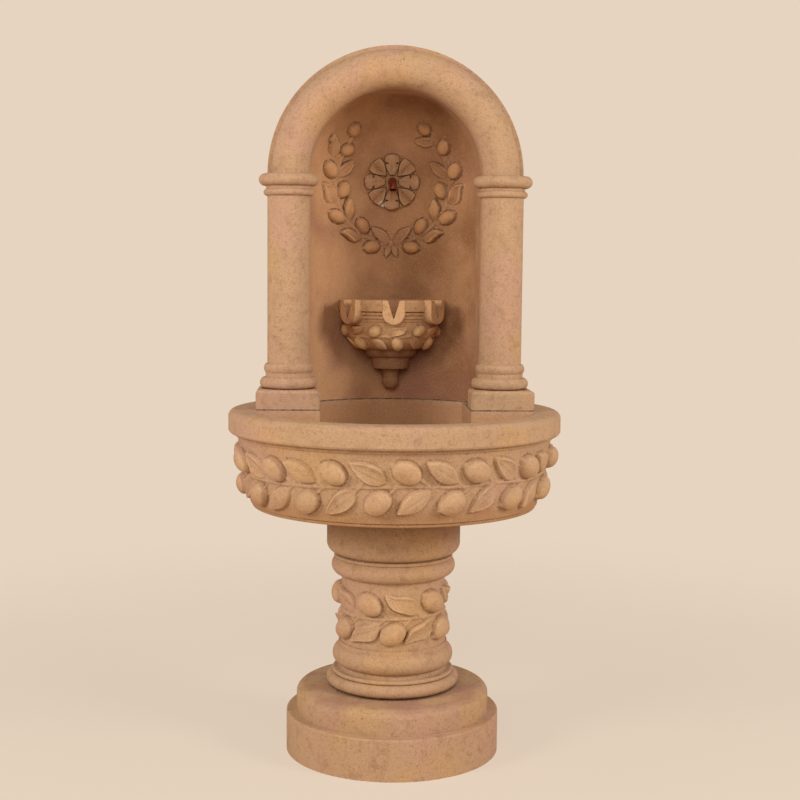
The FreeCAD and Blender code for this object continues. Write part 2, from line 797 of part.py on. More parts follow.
def make_niche_back():
    slab = arch_prism(arch_radius + column_radius + niche_flange, niche_z, springing_z,
                      slab_front_y, slab_front_y + slab_thickness)
    shell = niche_space(niche_shell, slab_front_y, niche_z)
    spine = box(Vector(-spine_half_width, niche_depth_y, niche_z),
                Vector(spine_half_width, wall_plane, spout_z + spine_top_margin))
    spine_top = [e for e in spine.Edges
                 if e.BoundBox.ZMin > spout_z and e.BoundBox.YMin > niche_depth_y + overshoot]
    spine = spine.makeFillet(plinth_edge_round, spine_top)
    space = niche_space(0, slab_front_y - overshoot, niche_z - overshoot)
    body = slab.fuse([shell, spine]).cut(space)
    roll = Part.makeTorus(niche_half_width + arch_roll_radius, arch_roll_radius,
                          Vector(0, column_y, springing_z), Y)
    roll = roll.common(box(Vector(-clear, -clear, springing_z), Vector(clear, clear, springing_z + clear)))
    body = body.fuse([roll] + [make_column(side) for side in (-1, 1)] + make_wreath())
    chase = box(Vector(-chase_half_width, chase_front_y, niche_z - overshoot),
                Vector(chase_half_width, wall_plane + overshoot, spout_z + chase_head))
    pipe_hole = cylinder(sleeve_radius, clear, Vector(0, niche_depth_y - rosette_thickness, spout_z), Y)
    body = body.cut([chase, pipe_hole])
    for side in (-1, 1):
        insert_hole = cylinder(tie_insert_radius, tie_insert_length,
                               Vector(side * spine_half_width, bracket_bolt_y, bracket_z), X * -side)
        body = body.cut([pin_hole(side, niche_z - overshoot, niche_z + locating_pin_length / 2),
                         insert_hole, stud(side)])
    return body


def stud(side):
    """One steel stud, from inside the spill bowl into the niche's wall."""
    start_y = bowl_axis_y - stud_embed
    return cylinder(stud_radius, shell_rear_y - stud_cover - start_y,
                    Vector(side * stud_spacing / 2, start_y, stud_z), Y)


def make_studs():
    return Part.makeCompound([stud(side) for side in (-1, 1)])


def bell_radius_at(drop):
    """The spill bowl's radius at a depth below the top of its carved bell."""
    share = math.sqrt(1 - (drop / bowl_bell_height) ** 2)
    return bowl_foot_radius + (bowl_bell_radius - bowl_foot_radius) * share


def make_spill(angle, width, height, near, far):
    """A U-shaped bar that points out from the bowl's axis, its flat top level with the rim."""
    half = width / 2
    round_z = bowl_top_z - height + half
    bar = cylinder(half, far - near, Vector(0, -far, round_z), Y)
    bar = bar.fuse(box(Vector(-half, -far, round_z), Vector(half, -near, bowl_top_z)))
    bar.rotate(Vector(0, 0, 0), Z, angle)
    bar.translate(Vector(0, bowl_axis_y, 0))
    return bar


def make_notch(angle):
    """The V-shaped channel down a spill's front, open at its top and at both its ends."""
    half, foot = spill_notch_width / 2, spill_notch_foot / 2
    near = bowl_radius - bowl_wall - spill_notch_overlap
    low_z = bowl_top_z - spill_notch_depth
    corners = [Vector(-half, -near, bowl_top_z), Vector(-half, -near, bowl_top_z + overshoot),
               Vector(half, -near, bowl_top_z + overshoot), Vector(half, -near, bowl_top_z),
               Vector(foot, -near, low_z), Vector(-foot, -near, low_z)]
    face = Part.Face(Part.makePolygon(corners + corners[:1]))
    channel = face.extrude(Vector(0, near - spill_reach - overshoot, 0))
    channel.rotate(Vector(0, 0, 0), Z, angle)
    channel.translate(Vector(0, bowl_axis_y, 0))
    return channel


def make_spill_bowl():
    z = bowl_top_z
    turned = Outline(0, z).line(bowl_radius - bowl_rim_round, z)
    turned.quarter(bowl_radius, z - bowl_rim_round)
    z -= bowl_rim_height
    turned.line(bowl_radius, z).line(bowl_fillet_radius, z)
    z -= bowl_fillet_height
    turned.line(bowl_fillet_radius, z).line(bowl_bell_radius, z)
    bell_z = z
    z -= bowl_bell_height
    turned.quarter(bowl_foot_radius, z)
    turned.arc(bowl_foot_radius, z - bowl_moulding_height / 2,
               bowl_foot_radius - bowl_moulding_inset, z - bowl_moulding_height)
    z -= bowl_moulding_height
    turned.line(bowl_stem_radius, z).line(bowl_stem_radius - bowl_stem_taper, z - bowl_stem_height)
    z -= bowl_stem_height
    turned.line(bowl_neck_radius, z).line(bowl_neck_radius - bowl_neck_taper, z - bowl_neck_height)
    z -= bowl_neck_height
    turned.arc(bowl_bud_radius, z - bowl_bud_belly * bowl_bud_height, 0, z - bowl_bud_height)
    body = turned.solid(Vector(0, bowl_axis_y, 0))

    fruit = lemon(bowl_fruit_length, bowl_fruit_width)
    blade = leaf(bowl_leaf_length, bowl_leaf_width, bowl_leaf_proud, bowl_leaf_root)
    motifs = []
    for k in range(-bowl_motifs_each_side, bowl_motifs_each_side + 1):
        upper, lower = (fruit, blade) if k % 2 else (blade, fruit)
        for motif, drop, tilt in ((upper, bowl_upper_row_drop, -bowl_row_tilt),
                                  (lower, bowl_lower_row_drop, bowl_row_tilt)):
            motifs.append(on_wall(motif, k * bowl_fruit_pitch, bell_z - drop,
                                  bell_radius_at(drop) - bowl_fruit_sink, tilt, bowl_axis_y))
    spill_angles = (-spill_angle, 0, spill_angle)
    spills = [make_spill(a, spill_width, spill_height, bowl_radius - spill_root, spill_reach)
              for a in spill_angles]
    body = body.fuse(motifs + spills)

    cavity = cylinder(bowl_radius - bowl_wall, bowl_cavity_depth + overshoot,
                      Vector(0, bowl_axis_y, bowl_top_z - bowl_cavity_depth))
    body = body.cut(cavity.common(niche_shaft(-bowl_back_wall, 0, niche_z, springing_z)))
    body = body.cut([make_notch(a) for a in spill_angles])
    body = body.common(niche_shaft(0, 0, niche_z, springing_z))
    return body.cut([stud(side) for side in (-1, 1)])


def make_rosette():
    """A round flower glued to the niche's wall: a disc, a ring of domed petals and a bored boss."""
    front_y = niche_depth_y - rosette_thickness
    disc = cylinder(rosette_radius - petal_overhang, rosette_thickness,
                    Vector(0, front_y + petal_rise, spout_z), Y)
    ball_radius = (petal_radius ** 2 + petal_rise ** 2) / (2 * petal_rise)
    reach = rosette_radius - petal_radius
    petals = []
    for k in range(rosette_petals):
        turn = 2 * math.pi * (k + 0.5) / rosette_petals
        petals.append(Part.makeSphere(ball_radius, Vector(reach * math.cos(turn), front_y + ball_radius,
                                                          spout_z + reach * math.sin(turn))))
    boss = cylinder(rosette_boss_radius, rosette_thickness,
                    Vector(0, front_y - rosette_boss_proud, spout_z), Y)
    space = niche_space(0, 0, niche_z)
    body = disc.common(space).fuse([piece.common(space) for piece in petals + [boss]])
    return body.cut(cylinder(pipe_radius, clear, Vector(0, 0, spout_z), Y))


def make_pipe():
    """The copper spout: straight through the wall, then one bend down."""
    rear = Vector(0, pipe_rear_y, spout_z)
    front = Vector(0, niche_depth_y - rosette_thickness - pipe_reach + pipe_bend_radius, spout_z)
    a = math.radians(pipe_bend_angle)
    centre = Vector(0, front.y, spout_z - pipe_bend_radius)
    middle = centre + Vector(0, -math.sin(a / 2), math.cos(a / 2)) * pipe_bend_radius
    end = centre + Vector(0, -math.sin(a), math.cos(a)) * pipe_bend_radius
    tip = end + Vector(0, -math.cos(a), -math.sin(a)) * pipe_tip
    path = Part.Wire([Part.LineSegment(rear, front).toShape(), Part.Arc(front, middle, end).toShape(),
                      Part.LineSegment(end, tip).toShape()])
    outer = pipe_along(path, rear, Y, pipe_radius)
    return outer.cut(pipe_along(path, rear, Y, pipe_radius - pipe_wall))


def make_elbow():
    """The brass elbow behind the wall: a socket for the pipe and a barb that points down."""
    centre = Vector(0, hose_riser_y, spout_z)
    socket_y = chase_front_y + elbow_gap
    body = cylinder(elbow_radius, hose_riser_y - socket_y, Vector(0, socket_y, spout_z), Y)
    body = body.fuse([Part.makeSphere(elbow_ball_radius, centre),
                      cylinder(elbow_radius, spout_z - hose_top_z, Vector(0, hose_riser_y, hose_top_z)),
                      cylinder(hose_bore_radius, barb_length + overshoot,
                               Vector(0, hose_riser_y, hose_top_z - barb_length))])
    pipe_socket = cylinder(pipe_radius, pipe_rear_y - chase_front_y, Vector(0, chase_front_y, spout_z), Y)
    level_bore = cylinder(elbow_bore, hose_riser_y - chase_front_y, Vector(0, chase_front_y, spout_z), Y)
    upright_bore = cylinder(elbow_bore, clear, centre, Z * -1)
    return body.cut([pipe_socket, level_bore, upright_bore])


def make_sleeve():
    return ring(sleeve_radius, pipe_radius, chase_front_y - niche_depth_y,
                Vector(0, niche_depth_y, spout_z), Y)


def hose_solid(radius, start_y):
    """A solid rod along the hose's centre line."""
    return pipe_along(hose_path(start_y), Vector(0, start_y, outlet_z), Y, radius)


def make_hose():
    hose = hose_solid(hose_radius, hose_start_y).cut(hose_solid(hose_bore_radius, hose_start_y))
    length = hose_path(hose_start_y).Length
    section = math.pi * (hose_radius ** 2 - hose_bore_radius ** 2)
    print("hose length", round(length, 1), "volume over section times length",
          round(hose.Volume / (section * length), 4))
    return hose


def make_hose_grommet():
    """The rubber ring that closes the gap between hose and basin where the hose leaves the water."""
    body = cylinder(hose_radius + hose_clearance, grommet_width,
                    Vector(0, niche_depth_y - grommet_width / 2, outlet_z), Y)
    return body.cut(hose_solid(hose_radius, hose_start_y))


def hose_clamp(at, along, lug):
    """A band round the hose, from a point along an axis, with its tightening barrel on the lug's side."""
    band = ring(hose_radius + clamp_thickness, hose_radius, clamp_width, at, along)
    half = clamp_barrel / 2
    barrel_centre = at + along * (clamp_width / 2) + lug * (hose_radius + clamp_thickness / 4)
    barrel = box(barrel_centre - Vector(half, half, half), barrel_centre + Vector(half, half, half))
    bore = cylinder(hose_radius, clear, at - along * (clear / 2), along)
    return band.fuse(barrel.cut(bore))


def make_clamps():
    pump_clamp = hose_clamp(Vector(0, hose_start_y + clamp_setback, outlet_z), Y, Z)
    spout_clamp = hose_clamp(Vector(0, hose_riser_y, hose_top_z - clamp_setback - clamp_width), Z, Y * -1)
    return Part.makeCompound([pump_clamp, spout_clamp])


def bracket_plate(side, width, depth):
    """A plate of one bracket, from the spine's side outwards and from the wall forwards."""
    inner, outer = sorted((side * spine_half_width, side * (spine_half_width + width)))
    return box(Vector(inner, wall_plane - depth, bracket_z - bracket_height / 2),
               Vector(outer, wall_plane, bracket_z + bracket_height / 2))


def make_brackets():
    brackets = []
    for side in (-1, 1):
        body = bracket_plate(side, bracket_thickness, bracket_depth)
        body = body.fuse(bracket_plate(side, bracket_flange, bracket_thickness))
        wall_hole = cylinder(wall_screw_radius, clear, Vector(side * wall_hole_x, 0, bracket_z), Y)
        bolt_hole = cylinder(bolt_radius, clear, Vector(0, bracket_bolt_y, bracket_z), X * side)
        brackets.append(body.cut([wall_hole, bolt_hole]).removeSplitter())
    return Part.makeCompound(brackets)


def make_inserts():
    return Part.makeCompound([ring(tie_insert_radius, bolt_radius, tie_insert_length,
                                   Vector(side * spine_half_width, bracket_bolt_y, bracket_z), X * -side)
                              for side in (-1, 1)])


def make_bracket_bolts():
    bolts = []
    for side in (-1, 1):
        face = Vector(side * (spine_half_width + bracket_thickness), bracket_bolt_y, bracket_z)
        shank = cylinder(bolt_radius, tie_insert_length + bracket_thickness - bolt_end_gap, face, X * -side)
        bolts.append(shank.fuse(hexagon(bolt_head_flats, bolt_head_height, face, X * side)))
    return Part.makeCompound(bolts)


def make_pins():
    low_z = basin_top_z - locating_pin_length / 2 + pin_end_gap
    return Part.makeCompound([cylinder(locating_pin_radius, locating_pin_length - 2 * pin_end_gap,
                                       Vector(side * arch_radius, column_y, low_z))
                              for side in (-1, 1)])


def make_niche_bedding(niche):
    """The bed has the niche casting's own footprint."""
    foot = niche.common(box(Vector(-clear, -clear, niche_z),
                            Vector(clear, clear, niche_z + bedding_thickness)))
    foot.translate(Vector(0, 0, -bedding_thickness))
    return foot.cut([pin_hole(side, basin_top_z - overshoot, niche_z + overshoot) for side in (-1, 1)])


def make_drain_bush():
    """A bronze bush through the basin's floor, with a flange that the stopper's head rests over."""
    body = ring(drain_radius, bush_bore_radius, basin_floor_z - bush_z, Vector(0, 0, bush_z))
    flange = ring(bush_flange_radius, bush_bore_radius, bush_flange_height, Vector(0, 0, basin_floor_z))
    return body.fuse(flange)


def make_stopper():
    """The plug in the drain bush: a plain barrel, a wider head, a pull ring's lug and the cord's hole."""
    bush_top_z = basin_floor_z + bush_flange_height
    body = cylinder(bush_bore_radius - stopper_clearance, stopper_barrel + stopper_seat_gap + overshoot,
                    Vector(0, 0, bush_top_z - stopper_barrel))
    head = cylinder(stopper_head_radius, stopper_head_height, Vector(0, 0, bush_top_z + stopper_seat_gap))
    lug = cylinder(pull_lug_radius, pull_lug_height + overshoot,
                   Vector(pull_lug_x, 0, stopper_top_z - overshoot))
    eye = cylinder(pull_eye_radius, clear, Vector(pull_lug_x, -clear / 2, pull_eye_z), Y)
    cord_hole = cylinder(cord_hole_radius, clear, Vector(-pull_lug_x, 0, basin_z))
    return body.fuse([head, lug]).cut([eye, cord_hole])


def make_pull_ring():
    return Part.makeTorus(pull_ring_radius, pull_ring_wire,
                          Vector(pull_lug_x, 0, pull_eye_z + pull_ring_radius), X)


def rotor_cylinder(radius, x0, x1):
    """A cylinder on the pump's rotor axis."""
    return cylinder(radius, x1 - x0, Vector(x0, pump_axis_y, pump_z), X)


def pump_box(x0, x1, half_width, low_z, high_z):
    """A box that straddles the pump's rotor axis."""
    return box(Vector(x0, pump_axis_y - half_width, low_z), Vector(x1, pump_axis_y + half_width, high_z))


def make_pump_housing():
    """The motor's sealed block, the volute in front of it and the outlet's stub."""
    half = motor_width / 2
    motor = pump_box(volute_x1, motor_x1, half, pump_sole_z, pump_z + half)
    motor = motor.makeFillet(motor_edge_round, motor.Edges)
    volute = rotor_cylinder(volute_radius, chamber_x0, volute_x1 + motor_overlap)
    foot = pump_box(chamber_x0, volute_x1 + 2 * motor_overlap, half - pump_foot_inset,
                    pump_sole_z, pump_sole_z + pump_foot_thickness)
    outlet = cylinder(outlet_radius, volute_radius, Vector(0, pump_axis_y, outlet_z), Y)
    body = motor.fuse([volute, foot, outlet])
    chamber = rotor_cylinder(chamber_radius, chamber_x0 - overshoot, impeller_x1 + rotor_end_gap)
    well = rotor_cylinder(rotor_magnet_radius + rotor_clearance, chamber_x0, well_x1)
    shaft_seat = rotor_cylinder(pump_shaft_radius, well_x1 - overshoot, well_x1 + shaft_seat_depth)
    outlet_hole = cylinder(outlet_bore, clear, Vector(0, pump_axis_y, outlet_z), Y)
    return body.cut([chamber, well, shaft_seat, outlet_hole])


def make_outlet_barb():
    """The hose tail that screws onto the outlet's stub."""
    face_y = pump_axis_y + volute_radius
    body = cylinder(hose_radius, barb_flange, Vector(0, face_y, outlet_z), Y)
    body = body.fuse(cylinder(hose_bore_radius, barb_flange + barb_length, Vector(0, face_y, outlet_z), Y))
    return body.cut(cylinder(outlet_bore, clear, Vector(0, face_y - overshoot, outlet_z), Y))


def make_rotor_magnet():
    magnet = rotor_cylinder(rotor_magnet_radius, impeller_x1, magnet_x1)
    return magnet.cut(rotor_cylinder(rotor_bore_radius, chamber_x0, well_x1))


def make_impeller():
    """A hub and a rear plate that carry straight vanes."""
    hub = rotor_cylinder(impeller_hub_radius, impeller_x0, impeller_x1)
    plate = rotor_cylinder(rotor_magnet_radius, impeller_x1 - impeller_plate, impeller_x1)
    half = vane_thickness / 2
    vane = box(Vector(impeller_x0, -half, impeller_hub_radius - vane_thickness),
               Vector(impeller_x1, half, impeller_radius))
    vane.translate(Vector(0, pump_axis_y, pump_z))
    vanes = []
    for k in range(impeller_vanes):
        turned = vane.copy()
        turned.rotate(Vector(0, pump_axis_y, pump_z), X, k * 360 / impeller_vanes)
        vanes.append(turned)
    return hub.fuse([plate] + vanes).cut(rotor_cylinder(rotor_bore_radius, chamber_x0, well_x1))


def make_rotor_shaft():
    """The ceramic shaft the rotor turns on, seated in the cover's hub and in the well's end."""
    return rotor_cylinder(pump_shaft_radius, shaft_x0, well_x1 + shaft_seat_depth - shaft_end_gap)


def make_volute_cover():
    """The disc that closes the volute, its eye open between four spokes."""
    disc = rotor_cylinder(volute_radius, volute_x0, chamber_x0)
    eye = rotor_cylinder(intake_eye_radius, volute_x0, chamber_x0)
    hub = rotor_cylinder(cover_hub_radius, volute_x0, chamber_x0)
    half = spoke_width / 2
    reach = intake_eye_radius + overshoot
    spokes = [pump_box(volute_x0, chamber_x0, reach, pump_z - half, pump_z + half),
              pump_box(volute_x0, chamber_x0, half, pump_z - reach, pump_z + reach)]
    body = disc.cut(eye).fuse([hub] + spokes)
    return body.cut(rotor_cylinder(pump_shaft_radius, shaft_x0, chamber_x0 + overshoot))


def make_intake_screen():
    """A slotted cap that pushes onto the volute's front and pulls off to be rinsed."""
    outer = volute_radius + screen_wall
    body = rotor_cylinder(outer, screen_x0, volute_x0 + screen_grip)
    body = body.cut(rotor_cylinder(volute_radius + screen_clearance, volute_x0, volute_x0 + clear))
    body = body.cut(rotor_cylinder(outer - cover_wall, screen_x0 + cover_wall, volute_x0 + overshoot))
    slot = box(Vector(screen_x0 + screen_slot_margin, -screen_slot_width / 2, volute_radius - screen_wall),
               Vector(volute_x0 - screen_slot_margin, screen_slot_width / 2, outer + screen_wall))
    slot.translate(Vector(0, pump_axis_y, pump_z))
    slots = []
    for k in range(screen_slots):
        turned = slot.copy()
        turned.rotate(Vector(0, pump_axis_y, pump_z), X, (k + 0.5) * 360 / screen_slots)
        slots.append(turned)
    inlet = rotor_cylinder(inlet_radius, screen_x0 - overshoot, screen_x0 + cover_wall + overshoot)
    foot_clear = pump_box(volute_x0, volute_x0 + clear, clear, basin_floor_z,
                          pump_sole_z + pump_foot_thickness + screen_foot_gap)
    return body.cut(slots + [inlet, foot_clear])


def make_regulator():
    """The dial on the intake: a disc with a finger rib, on a short neck in the screen's hole."""
    disc = rotor_cylinder(regulator_radius, dial_x0, dial_x0 + dial_thickness)
    neck = rotor_cylinder(inlet_radius - dial_clearance, dial_x0, screen_x0 + cover_wall)
    rib = pump_box(dial_x0 - dial_rib_height, dial_x0 + overshoot, dial_rib_width / 2,
                   pump_z - dial_rib_length / 2, pump_z + dial_rib_length / 2)
    hole_at = Vector(dial_x0 - dial_rib_height, pump_axis_y + dial_hole_offset, pump_z)
    dial_hole = cylinder(dial_hole_radius, clear, hole_at, X)
    return disc.fuse([neck, rib]).cut(dial_hole)


def make_pump_feet():
    feet = []
    for x in (volute_x0 + foot_inset, motor_x1 - foot_inset):
        for side in (-1, 1):
            at = Vector(x, pump_axis_y + side * foot_spread / 2, basin_floor_z)
            feet.append(Part.makeCone(foot_cup_radius, foot_top_radius, pump_feet_height, at))
    return Part.makeCompound(feet)


def make_cord_gland():
    """The sealed entry of the pump's cord at the motor's rear: a collar and a tapered sleeve."""
    at = Vector(motor_x1, pump_axis_y, pump_z + gland_rise)
    sleeve_at = at + X * gland_collar_length
    body = cylinder(gland_radius, gland_collar_length, at, X)
    sleeve = Part.makeCone(gland_sleeve_radius, gland_tip_radius, gland_sleeve_length, sleeve_at, X)
    return body.fuse(sleeve).cut(cylinder(cord_hole_radius, clear, at + X * overshoot, X))


def save(name, shape):
    """Writes one node and says what it holds."""
    shape.exportStep(os.path.join("parts", name + ".step"))
    state = "valid" if shape.isValid() else "INVALID"
    print(name, len(shape.Solids), "solid(s)", round(shape.Volume / 1000, 2), "cm3", state)


def main():
    os.makedirs("parts", exist_ok=True)
    save("base_plinth", make_base())
    save("base_bedding", bedding_ring(base_top_z, foot_bead_core))
    save("pedestal_column", make_pedestal())
    save("pedestal_bedding", bedding_ring(pedestal_top_z, cap_radius))
    save("basin", make_basin())
    niche = make_niche_back()
    save("niche_back", niche)
    save("niche_bedding", make_niche_bedding(niche))
    save("locating_pins", make_pins())
    save("spill_bowl", make_spill_bowl())
    save("spill_bowl_studs", make_studs())
    save("rosette", make_rosette())
    save("spout_pipe", make_pipe())
    save("pipe_sleeve", make_sleeve())
    save("spout_elbow", make_elbow())
    save("supply_hose", make_hose())
    save("hose_grommet", make_hose_grommet())
    save("hose_clamps", make_clamps())
    save("wall_brackets", make_brackets())
    save("bracket_inserts", make_inserts())
    save("bracket_bolts", make_bracket_bolts())
    save("drain_bush", make_drain_bush())
    save("drain_stopper", make_stopper())
    save("stopper_ring", make_pull_ring())
    save("pump_housing", make_pump_housing())
    save("pump_outlet_barb", make_outlet_barb())
    save("volute_cover", make_volute_cover())
    save("rotor_magnet", make_rotor_magnet())
    save("impeller", make_impeller())
    save("rotor_shaft", make_rotor_shaft())
    save("intake_screen", make_intake_screen())
    save("flow_regulator", make_regulator())
    save("pump_feet", make_pump_feet())
    save("cord_gland", make_cord_gland())


main()
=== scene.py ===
# %% [markdown]
# # A garden wall fountain in cast stone
# The fountain is a stack of castings: a round foot, a pedestal, a D-shaped basin and an arched niche
# with a small spill bowl. The CAD model gives their sizes and places, in metres, with the floor at
# zero and the front towards -Y. This lesson keeps its plain forms and makes two things anew: the
# carved fruit and leaves, and the finish of every surface.

# %% Load the frame
import json
import math
import bmesh
import bpy
import numpy as np
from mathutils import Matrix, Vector

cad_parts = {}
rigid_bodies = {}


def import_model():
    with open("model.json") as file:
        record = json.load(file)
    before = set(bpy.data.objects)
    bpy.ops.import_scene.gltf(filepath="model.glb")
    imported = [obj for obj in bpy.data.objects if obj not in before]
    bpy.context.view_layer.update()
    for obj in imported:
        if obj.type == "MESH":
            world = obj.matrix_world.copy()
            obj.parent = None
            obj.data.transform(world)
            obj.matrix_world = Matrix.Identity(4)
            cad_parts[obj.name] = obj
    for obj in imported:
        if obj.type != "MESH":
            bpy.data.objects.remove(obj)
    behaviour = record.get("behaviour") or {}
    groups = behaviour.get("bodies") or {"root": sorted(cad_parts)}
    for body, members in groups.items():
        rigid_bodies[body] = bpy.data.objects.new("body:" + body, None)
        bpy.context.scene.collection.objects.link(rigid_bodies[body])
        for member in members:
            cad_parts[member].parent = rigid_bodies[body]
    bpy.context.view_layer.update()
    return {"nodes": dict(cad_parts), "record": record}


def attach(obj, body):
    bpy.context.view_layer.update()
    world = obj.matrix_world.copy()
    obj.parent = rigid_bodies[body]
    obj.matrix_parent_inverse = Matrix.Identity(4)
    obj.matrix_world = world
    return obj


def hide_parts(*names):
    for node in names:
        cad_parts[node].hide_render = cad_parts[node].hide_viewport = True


for left_over in list(bpy.data.objects):
    bpy.data.objects.remove(left_over)
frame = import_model()
mm = 0.001

# %% [markdown]
# ## A small language for node trees
# Shaders and geometry trees are graphs, and a graph written link by link is hard to read. Here one
# class stands for a node's output. Python's own signs between two of them add Math nodes, so a
# mask can be written as `1 - mask * 0.5`. Every other node comes from one function that takes its
# type, its settings and what goes into its sockets. A second small helper puts an object in the
# scene, and a third drops what is no longer needed.

# %% Terms and nodes
def placed(name, data):
    """A new object in the scene, at the origin."""
    piece = bpy.data.objects.new(name, data)
    bpy.context.scene.collection.objects.link(piece)
    return piece


def discard(*pieces):
    for piece in pieces:
        bpy.data.objects.remove(piece)


def pick(sockets, key):
    """A node's socket by number, or the first one in use by name."""
    if isinstance(key, int):
        return sockets[key]
    return next(s for s in sockets if s.name == key and s.enabled)


def add_node(tree, kind, settings=None, values=None, out=0):
    made = tree.nodes.new(kind)
    for key, value in (settings or {}).items():
        if key == "stops":
            ramp = made.color_ramp
            while len(ramp.elements) < len(value):
                ramp.elements.new(0.5)
            for element, (place, colour) in zip(ramp.elements, value):
                element.position = place
                element.color = colour
        else:
            setattr(made, key, value)
    for key, value in (values or {}).items():
        socket = pick(made.inputs, key)
        if isinstance(value, Term):
            tree.links.new(value.socket, socket)
        else:
            socket.default_value = value
    return Term(tree, pick(made.outputs, out)) if made.outputs else made


class Term:
    """One output of a node. Signs between terms and numbers add Math nodes to its tree."""

    def __init__(self, tree, socket):
        self.tree = tree
        self.socket = socket

    def maths(self, operation, *values, clamp=False):
        settings = {"operation": operation, "use_clamp": clamp}
        return add_node(self.tree, "ShaderNodeMath", settings, dict(enumerate(values)))

    def __add__(self, other):
        return self.maths("ADD", self, other)

    def __radd__(self, other):
        return self.maths("ADD", other, self)

    def __sub__(self, other):
        return self.maths("SUBTRACT", self, other)

    def __rsub__(self, other):
        return self.maths("SUBTRACT", other, self)

    def __mul__(self, other):
        return self.maths("MULTIPLY", self, other)

    def __rmul__(self, other):
        return self.maths("MULTIPLY", other, self)

    def __truediv__(self, other):
        return self.maths("DIVIDE", self, other)

    def __rtruediv__(self, other):
        return self.maths("DIVIDE", other, self)

    def clamped(self):
        return self.maths("ADD", self, 0.0, clamp=True)

    def larger(self, other):
        return self.maths("MAXIMUM", self, other)

    def over(self, low, high):
        """0 below low, 1 above high and a smooth step between."""
        return add_node(self.tree, "ShaderNodeMapRange", {"interpolation_type": "SMOOTHSTEP"},
                        {"Value": self, "From Min": low, "From Max": high})

    def axis(self, name):
        return add_node(self.tree, "ShaderNodeSeparateXYZ", None, {0: self}, name)


def vector(tree, operation, *values, out=0, **named):
    values = dict(enumerate(values)) | named
    return add_node(tree, "ShaderNodeVectorMath", {"operation": operation}, values, out)


def linear(red, green, blue):
    """A screen colour from 0 to 255 as the linear colour that a shader takes."""
    return tuple((v / 255 / 12.92 if v <= 10 else ((v / 255 + 0.055) / 1.055) ** 2.4)
                 for v in (red, green, blue)) + (1.0,)


print("tan stone", [round(v, 3) for v in linear(200, 155, 110)])

# %% [markdown]
# ## Finishes
# A finish is a material with one Principled shader. The noise behind it reads Object coordinates:
# all pieces sit at the origin, so neighbouring castings share one pattern and no seam shows.

# %% The finish class
class Finish:
    """A material under construction: its tree, its coordinates and its one shader."""

    def __init__(self, name):
        self.material = bpy.data.materials.new(name)
        self.material.use_nodes = True
        self.tree = self.material.node_tree
        self.tree.nodes.clear()
        self.at = self.node("ShaderNodeTexCoord", out="Object")

    def node(self, kind, settings=None, values=None, out=0):
        return add_node(self.tree, kind, settings, values, out)

    def noise(self, scale, detail=3.0, rough=0.5, at=None):
        return self.node("ShaderNodeTexNoise", None, {"Vector": at or self.at, "Scale": scale,
                                                      "Detail": detail, "Roughness": rough})

    def mix(self, factor, first, second, blend="MIX"):
        return self.node("ShaderNodeMix", {"data_type": "RGBA", "blend_type": blend, "clamp_factor": True},
                         {0: factor, 6: first, 7: second}, 2)

    def bump(self, height, strength, distance, below=None):
        values = {"Height": height, "Strength": strength, "Distance": distance}
        if below:
            values["Normal"] = below
        return self.node("ShaderNodeBump", None, values)

    def shade(self, **values):
        named = {key.replace("_", " "): value for key, value in values.items()}
        shader = self.node("ShaderNodeBsdfPrincipled", None, named)
        self.node("ShaderNodeOutputMaterial", None, {"Surface": shader})
        return self.material


print("finish class ready")
